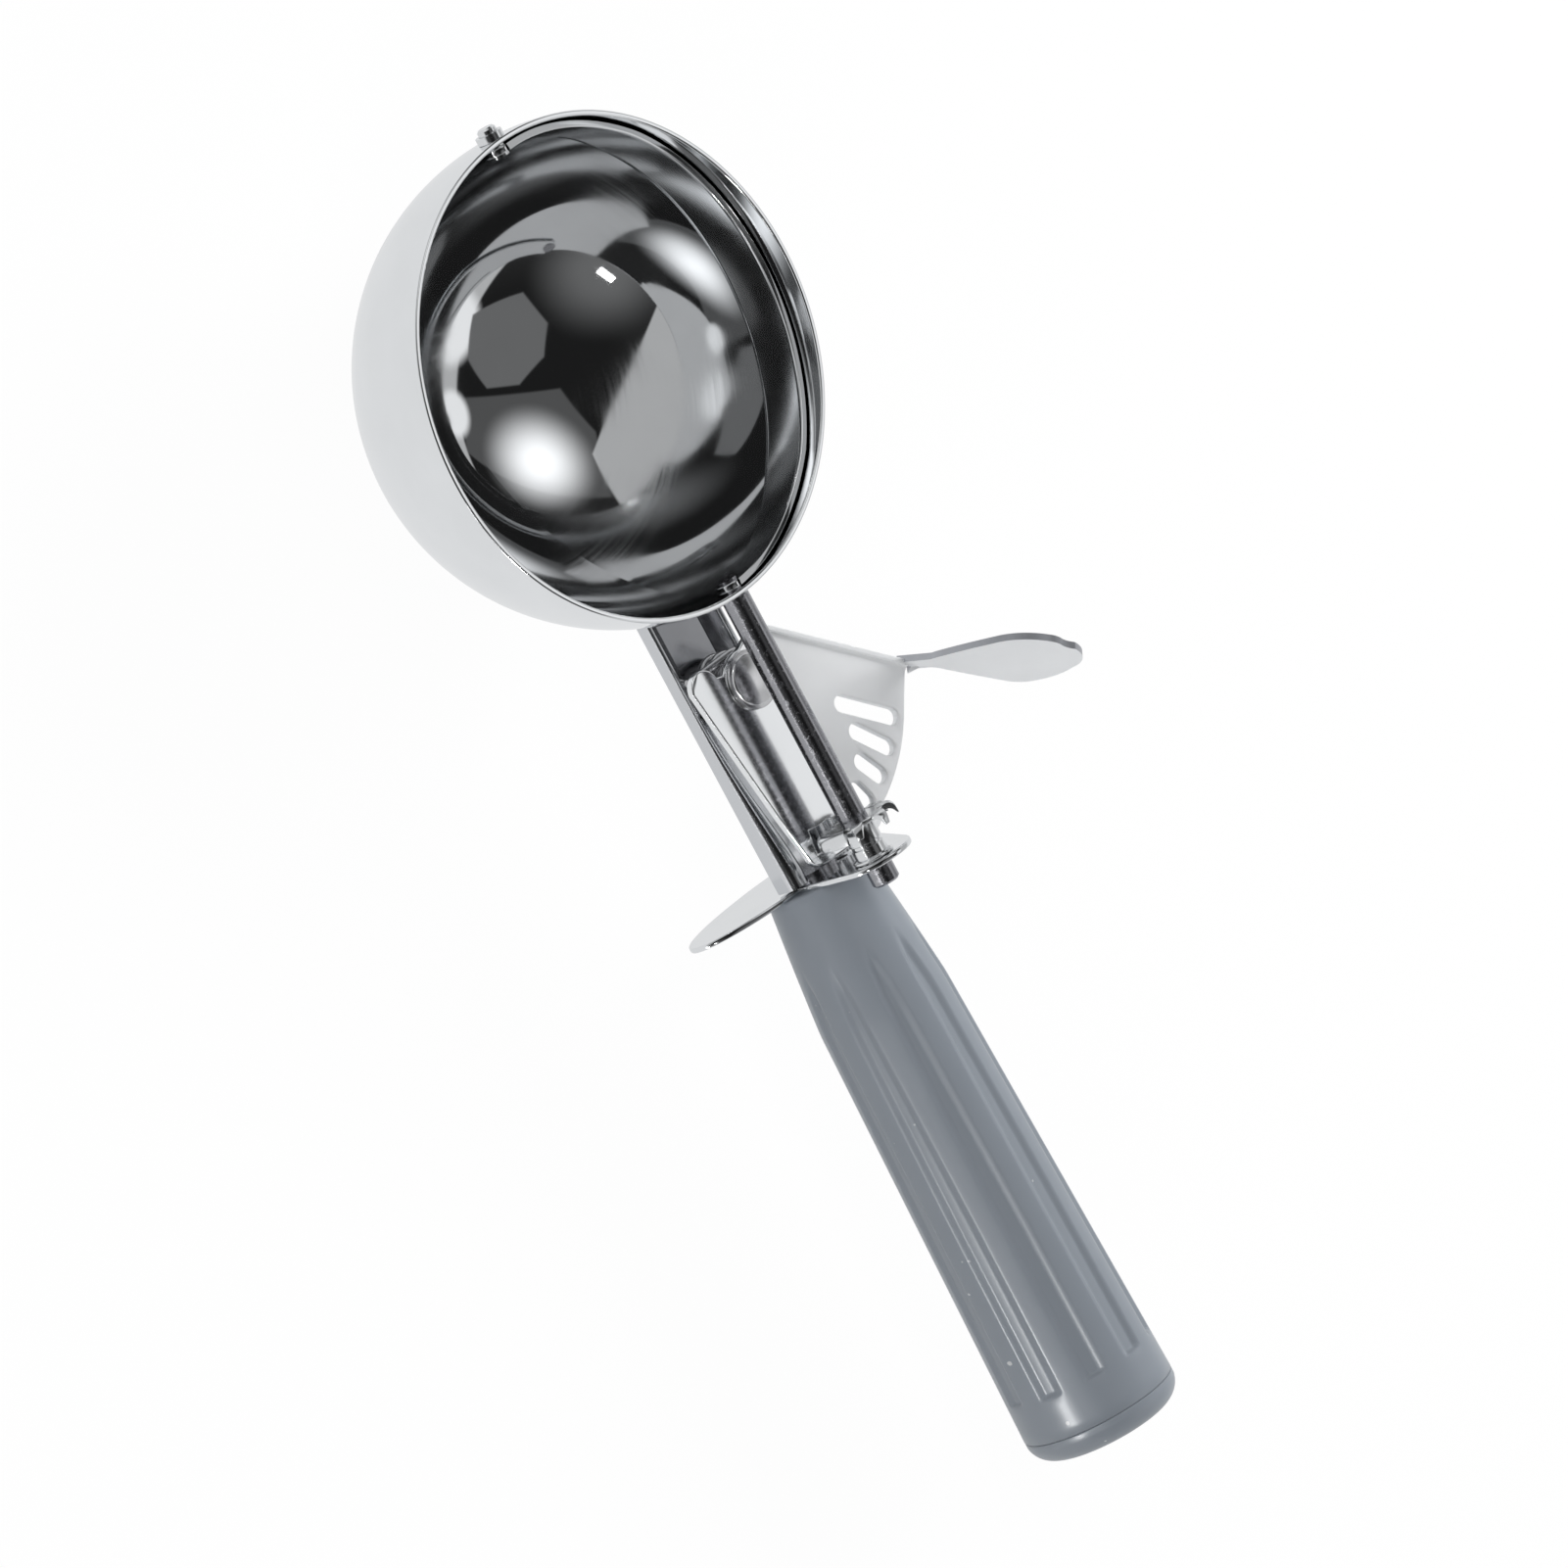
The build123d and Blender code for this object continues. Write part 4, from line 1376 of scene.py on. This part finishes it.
@dataclass
class Blade(Assembly):
    """Half ring of strip that wipes the bowl, with an eye at each end."""

    body: str = "scraper"
    bowl_x: float = -164.8
    shaft_z: float = 13.0
    rest: float = 9.0
    outer: float = 34.4
    inner: float = 33.4
    half: float = 3.5
    crown: float = 0.18
    steps: int = 128
    taper_from: float = 25.0
    taper_to: float = 35.5
    eye: float = 1.9

    def strip(self) -> Piece:
        """Turns the strip's section through half a turn and tapers its ends.

        Returns:
            The strip.
        """
        crown = self.crown
        high, low = self.outer - crown, self.inner - crown
        side, flat = self.half, self.half - crown
        foot, corner = low + crown + 0.1, self.half - 0.05
        section = Line((-side, foot), (
            Run((-side, high - crown)), Run((-flat, high), (-corner, high - 0.05), 3),
            Run((flat, high), (0.0, self.outer), 14), Run((side, high - crown), (corner, high - 0.05), 3),
            Run((side, foot)), Run((flat, low + 0.02), (corner, low + 0.1), 3),
            Run((-flat, low + 0.02), (0.0, self.inner), 14), Run((-side, foot), (-corner, low + 0.1), 3)))
        made = section.draw()
        with editing(made):
            spin(self.steps, math.pi)
        tidy(made)

        def tapered(point: Vector) -> Vector:
            """Narrows the strip towards its eyes and keeps it on its sphere.

            Args:
                point: The point on the even strip.

            Returns:
                Its new place.
            """
            gone = max(0.0, abs(point.y) - self.taper_from) / (self.taper_to - self.taper_from)
            across = point.x * (1.0 - gone * (1.0 - self.eye / self.half))
            ring = math.hypot(point.y, point.z)
            scale = math.sqrt(point.length_squared - across ** 2) / ring
            return Vector((across, point.y * scale, point.z * scale))

        shape(made, tapered)
        return made

    def build(self) -> None:
        """Builds the blade with its two eyes."""
        turn = math.radians(self.rest)
        upright = (0.0, math.sin(turn), math.cos(turn))
        middle = (self.bowl_x, 0.0, self.shaft_z)
        pieces = [settle(self.strip(), frame_at(middle, upright, (-1.0, 0.0, 0.0)))]
        for sign in (-1.0, 1.0):
            near, far = sign * (self.outer - 1.05), sign * (self.outer - 0.05)
            low, round_off, corner = self.eye - 0.15, sign * 0.15, sign * 0.04
            eye = Line((near, 0.0), (
                Run((near, low)), Run((near + round_off, self.eye), (near + corner, self.eye - 0.04), 3),
                Run((far - round_off, self.eye)), Run((far, low), (far - corner, self.eye - 0.04), 3),
                Run((far, 0.0)))).lathe(40)
            pieces.append(settle(eye, frame_at(middle)))
        self.finish(join(pieces), "scraper_strip", "scraper_blade", "blade_steel", "strip", 40.0)


@dataclass
class Handle(Assembly):
    """Fluted plastic grip and its rounded end cap."""

    start_x: float = -87.5
    end_x: float = -3.8
    start_r: float = 7.6
    bend: Pair = (-78.3, 8.65)
    neck: Pair = (-67.8, 9.7)
    end_r: float = 11.4
    flutes: int = 10
    flute_turn: float = 13.0
    flute_start: float = -77.0
    flute_end: float = -9.8
    flute_half: Pair = (0.7, 1.35)
    flute_depth: Pair = (0.5, 0.6)
    widening: Pair = (1.6, 0.7)
    run_in: float = 0.1
    fade_in: float = 0.05
    fade_out: float = 0.5
    edge: float = 1.3
    around: int = 360
    first_step: float = 0.35
    step: float = 1.2
    steps: int = 63
    mouth_room: float = 0.3
    seam_room: float = 0.14
    recess: float = 5.65
    bore_share: float = 0.4

    def radius(self, x: float) -> float:
        """Finds the grip's radius without its flutes.

        Args:
            x: The place along the grip.

        Returns:
            The radius.
        """
        neck_x, neck_r = self.neck
        if x >= neck_x:
            return neck_r + (self.end_r - neck_r) * (x - neck_x) / (self.end_x - neck_x)
        centre, _ = Run(self.neck, self.bend).arc((self.start_x, self.start_r))
        reach = math.hypot(neck_x - centre.x, neck_r - centre.y)
        rise = math.sqrt(max(0.0, reach ** 2 - (x - centre.x) ** 2))
        return centre.y + (rise if neck_r > centre.y else -rise)

    def groove(self, x: float, turn: float) -> float:
        """Finds how deep the flutes cut.

        Args:
            x: The place along the grip.
            turn: The angle round it in degrees.

        Returns:
            The depth.
        """
        if not self.flute_start < x < self.flute_end:
            return 0.0
        share = (x - self.flute_start) / (self.flute_end - self.flute_start)
        pitch = 360.0 / self.flutes
        off = (turn - self.flute_turn + pitch / 2.0) % pitch - pitch / 2.0
        across = abs(math.radians(off)) * self.radius(x)
        start, end = self.flute_half
        rate, power = self.widening
        half = start + (end - start) * min(1.0, share * rate) ** power
        half *= min(1.0, share / self.run_in) ** 0.5
        shallow, deep = self.flute_depth
        depth = shallow + (deep - shallow) * share
        depth *= min(1.0, share / self.fade_in)
        depth *= min(1.0, (self.flute_end - x) / self.fade_out)
        wall = clamp((half - across) / self.edge + 0.5)
        return depth * wall * wall * (3.0 - 2.0 * wall)

    def grip(self) -> Piece:
        """Extrudes a ring along the grip and presses the flutes into it.

        Returns:
            The grip.
        """
        bpy.ops.object.select_all(action="DESELECT")
        bpy.ops.mesh.primitive_circle_add(vertices=self.around, radius=self.start_r * MM)
        made = bpy.context.object
        settle(made, frame_at((self.start_x, 0.0, 0.0), *FACING_X))
        stations = [self.start_x + self.first_step]
        stations += [self.start_x + self.step * step for step in range(1, self.steps + 1)]
        stations += [-10.6, -10.3, -10.15, -10.0, -9.85, -9.6, -8.5, -7.0, -5.5, -3.95, self.end_x]
        narrow = self.recess / self.start_r
        with editing(made):
            draw_along(bpy.ops.mesh.extrude_edges_move, self.start_x, stations)
            bpy.ops.transform.resize(value=(1.0, narrow, narrow), center_override=(self.end_x * MM, 0.0, 0.0))

        def shaped(point: Vector) -> Vector:
            """Puts a point on the fluted surface.

            Args:
                point: The point on the plain tube.

            Returns:
                Its new place.
            """
            flat = math.hypot(point.y, point.z)
            turn = math.atan2(point.z, point.y)
            if point.x > self.end_x - 0.001:
                reach = self.end_r - self.seam_room
            else:
                reach = self.radius(point.x) - self.groove(point.x, math.degrees(turn))
                if point.x < self.start_x + 0.01:
                    reach -= self.mouth_room
            return Vector((point.x, reach * point.y / flat, reach * point.z / flat))

        shape(made, shaped)
        with editing(made):
            bpy.ops.mesh.select_all(action="DESELECT")
            bpy.ops.mesh.select_non_manifold(extend=False)
            bpy.ops.mesh.extrude_edges_move(TRANSFORM_OT_translate={"value": (0.0, 0.0, 0.0)})
            bore = self.bore_share
            bpy.ops.transform.resize(value=(1.0, bore, bore), center_override=(0.0, 0.0, 0.0))
        tidy(made)
        return made

    def cap(self) -> Piece:
        """Turns the rounded end cap with the small step of its seam.

        Returns:
            The cap.
        """
        x, rim = self.end_x, self.end_r
        return Line((x + 0.02, 0.0), (
            Run((x + 0.02, rim - 0.2)), Run((x + 0.2, rim - 0.02), (x + 0.07, rim - 0.07), 5),
            Run((-2.9, 11.37)), Run((0.0, 8.0), (-0.95, 10.3), 28), Run((0.0, 0.0)))).lathe(128)

    def build(self) -> None:
        """Builds the grip and its cap."""
        self.finish(self.grip(), "fluted_grip", "handle_grip", "grip_plastic", "grip", 50.0)
        self.finish(self.cap(), "rounded_end_cap", "handle_end_cap", "cap_plastic", "grip", 50.0)


BOWL_CENTRE: Point = (-0.1648, 0.0, 0.013)

FINISHES: dict[str, Metal | Plastic] = {
    "bowl": Metal("mirror_steel", (0.9, 0.91, 0.92), 0.03, Streaks.ROUND_BOWL, 0.00000022, 0.2, 0.0001, 45.0,
                  centre=BOWL_CENTRE),
    "strip": Metal("strip_steel", (0.84, 0.85, 0.86), 0.09, Streaks.ROUND_BOWL, 0.0000001, 0.12, 0.00006,
                   80.0, centre=BOWL_CENTRE),
    "bar": Metal("bar_steel", (0.36, 0.36, 0.38), 0.17, Streaks.ALONG_X, 0.0000008, 0.1,
                 speck=0.6, speck_scale=1400.0),
    # The tray's floor carries painted shade by the bowl's joint.
    "tray": Metal("tray_steel", (0.7, 0.71, 0.73), 0.13, Streaks.ALONG_X, 0.0000003, 0.1, 0.00025, 55.0,
                  floor_shade=0.7),
    "guard": Metal("guard_steel", (0.86, 0.87, 0.88), 0.08, Streaks.ALONG_Y, 0.0000004, 0.1, 0.00006, 70.0),
    "pinion": Metal("pinion_steel", (0.8, 0.81, 0.82), 0.16, wave_depth=0.00001, wave_scale=200.0),
    "bush": Metal("bush_steel", (0.82, 0.83, 0.84), 0.12, wave_depth=0.00001, wave_scale=200.0),
    "lever": Metal("lever_steel", (0.93, 0.94, 0.95), 0.09, Streaks.ALONG_Y, 0.0000002, 0.06, 0.00003, 60.0,
                   satin=0.25),
    # Cut edge: rougher like a sheared edge, and darker in colour as painted shade for the dark band the edge
    # shows.
    "cut": Metal("cut_edge_steel_painted_dark", (0.5, 0.51, 0.54), 0.35, speck=0.3),
    "rivet": Metal("rivet_steel", (0.86, 0.86, 0.87), 0.17, wave_depth=0.000004, wave_scale=160.0),
    "wire": Metal("wire_steel", (0.5, 0.5, 0.51), 0.17, speck=0.2),
    "grip": Plastic("grip_grey", (0.222, 0.246, 0.277), roughness=0.31),
}

NODE_FINISH: dict[str, str] = {
    "bowl": "bowl", "bowl_saddle": "bowl",
    "front_bushing": "bush", "scraper_pin": "bush", "scraper_shaft": "bar",
    "lower_washer": "rivet", "pivot_post": "rivet", "return_spring": "wire", "handle_tang": "bar",
    "tang_washer": "rivet", "tang_nut": "rivet",
}

MATERIALS: dict[str, bpy.types.Material] = {}


def main() -> None:
    """Loads the frame, dresses what stays, builds the pieces and the studio."""
    logging.basicConfig(level=logging.INFO)
    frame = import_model()
    bpy.context.view_layer.update()
    bpy.ops.object.select_all(action="DESELECT")
    MATERIALS.update({name: finish.build() for name, finish in FINISHES.items()})
    for name, look in NODE_FINISH.items():
        frame["nodes"][name].material_slots[0].material = MATERIALS[look]
        LOG.info("dressed %s", name)
    for assembly in (Lever(), Pivot(), Pinion(), Shank(), Guard(), Blade(), Handle()):
        assembly.build()
    Studio().build()
    bpy.context.view_layer.update()


if __name__ == "__main__":
    main()
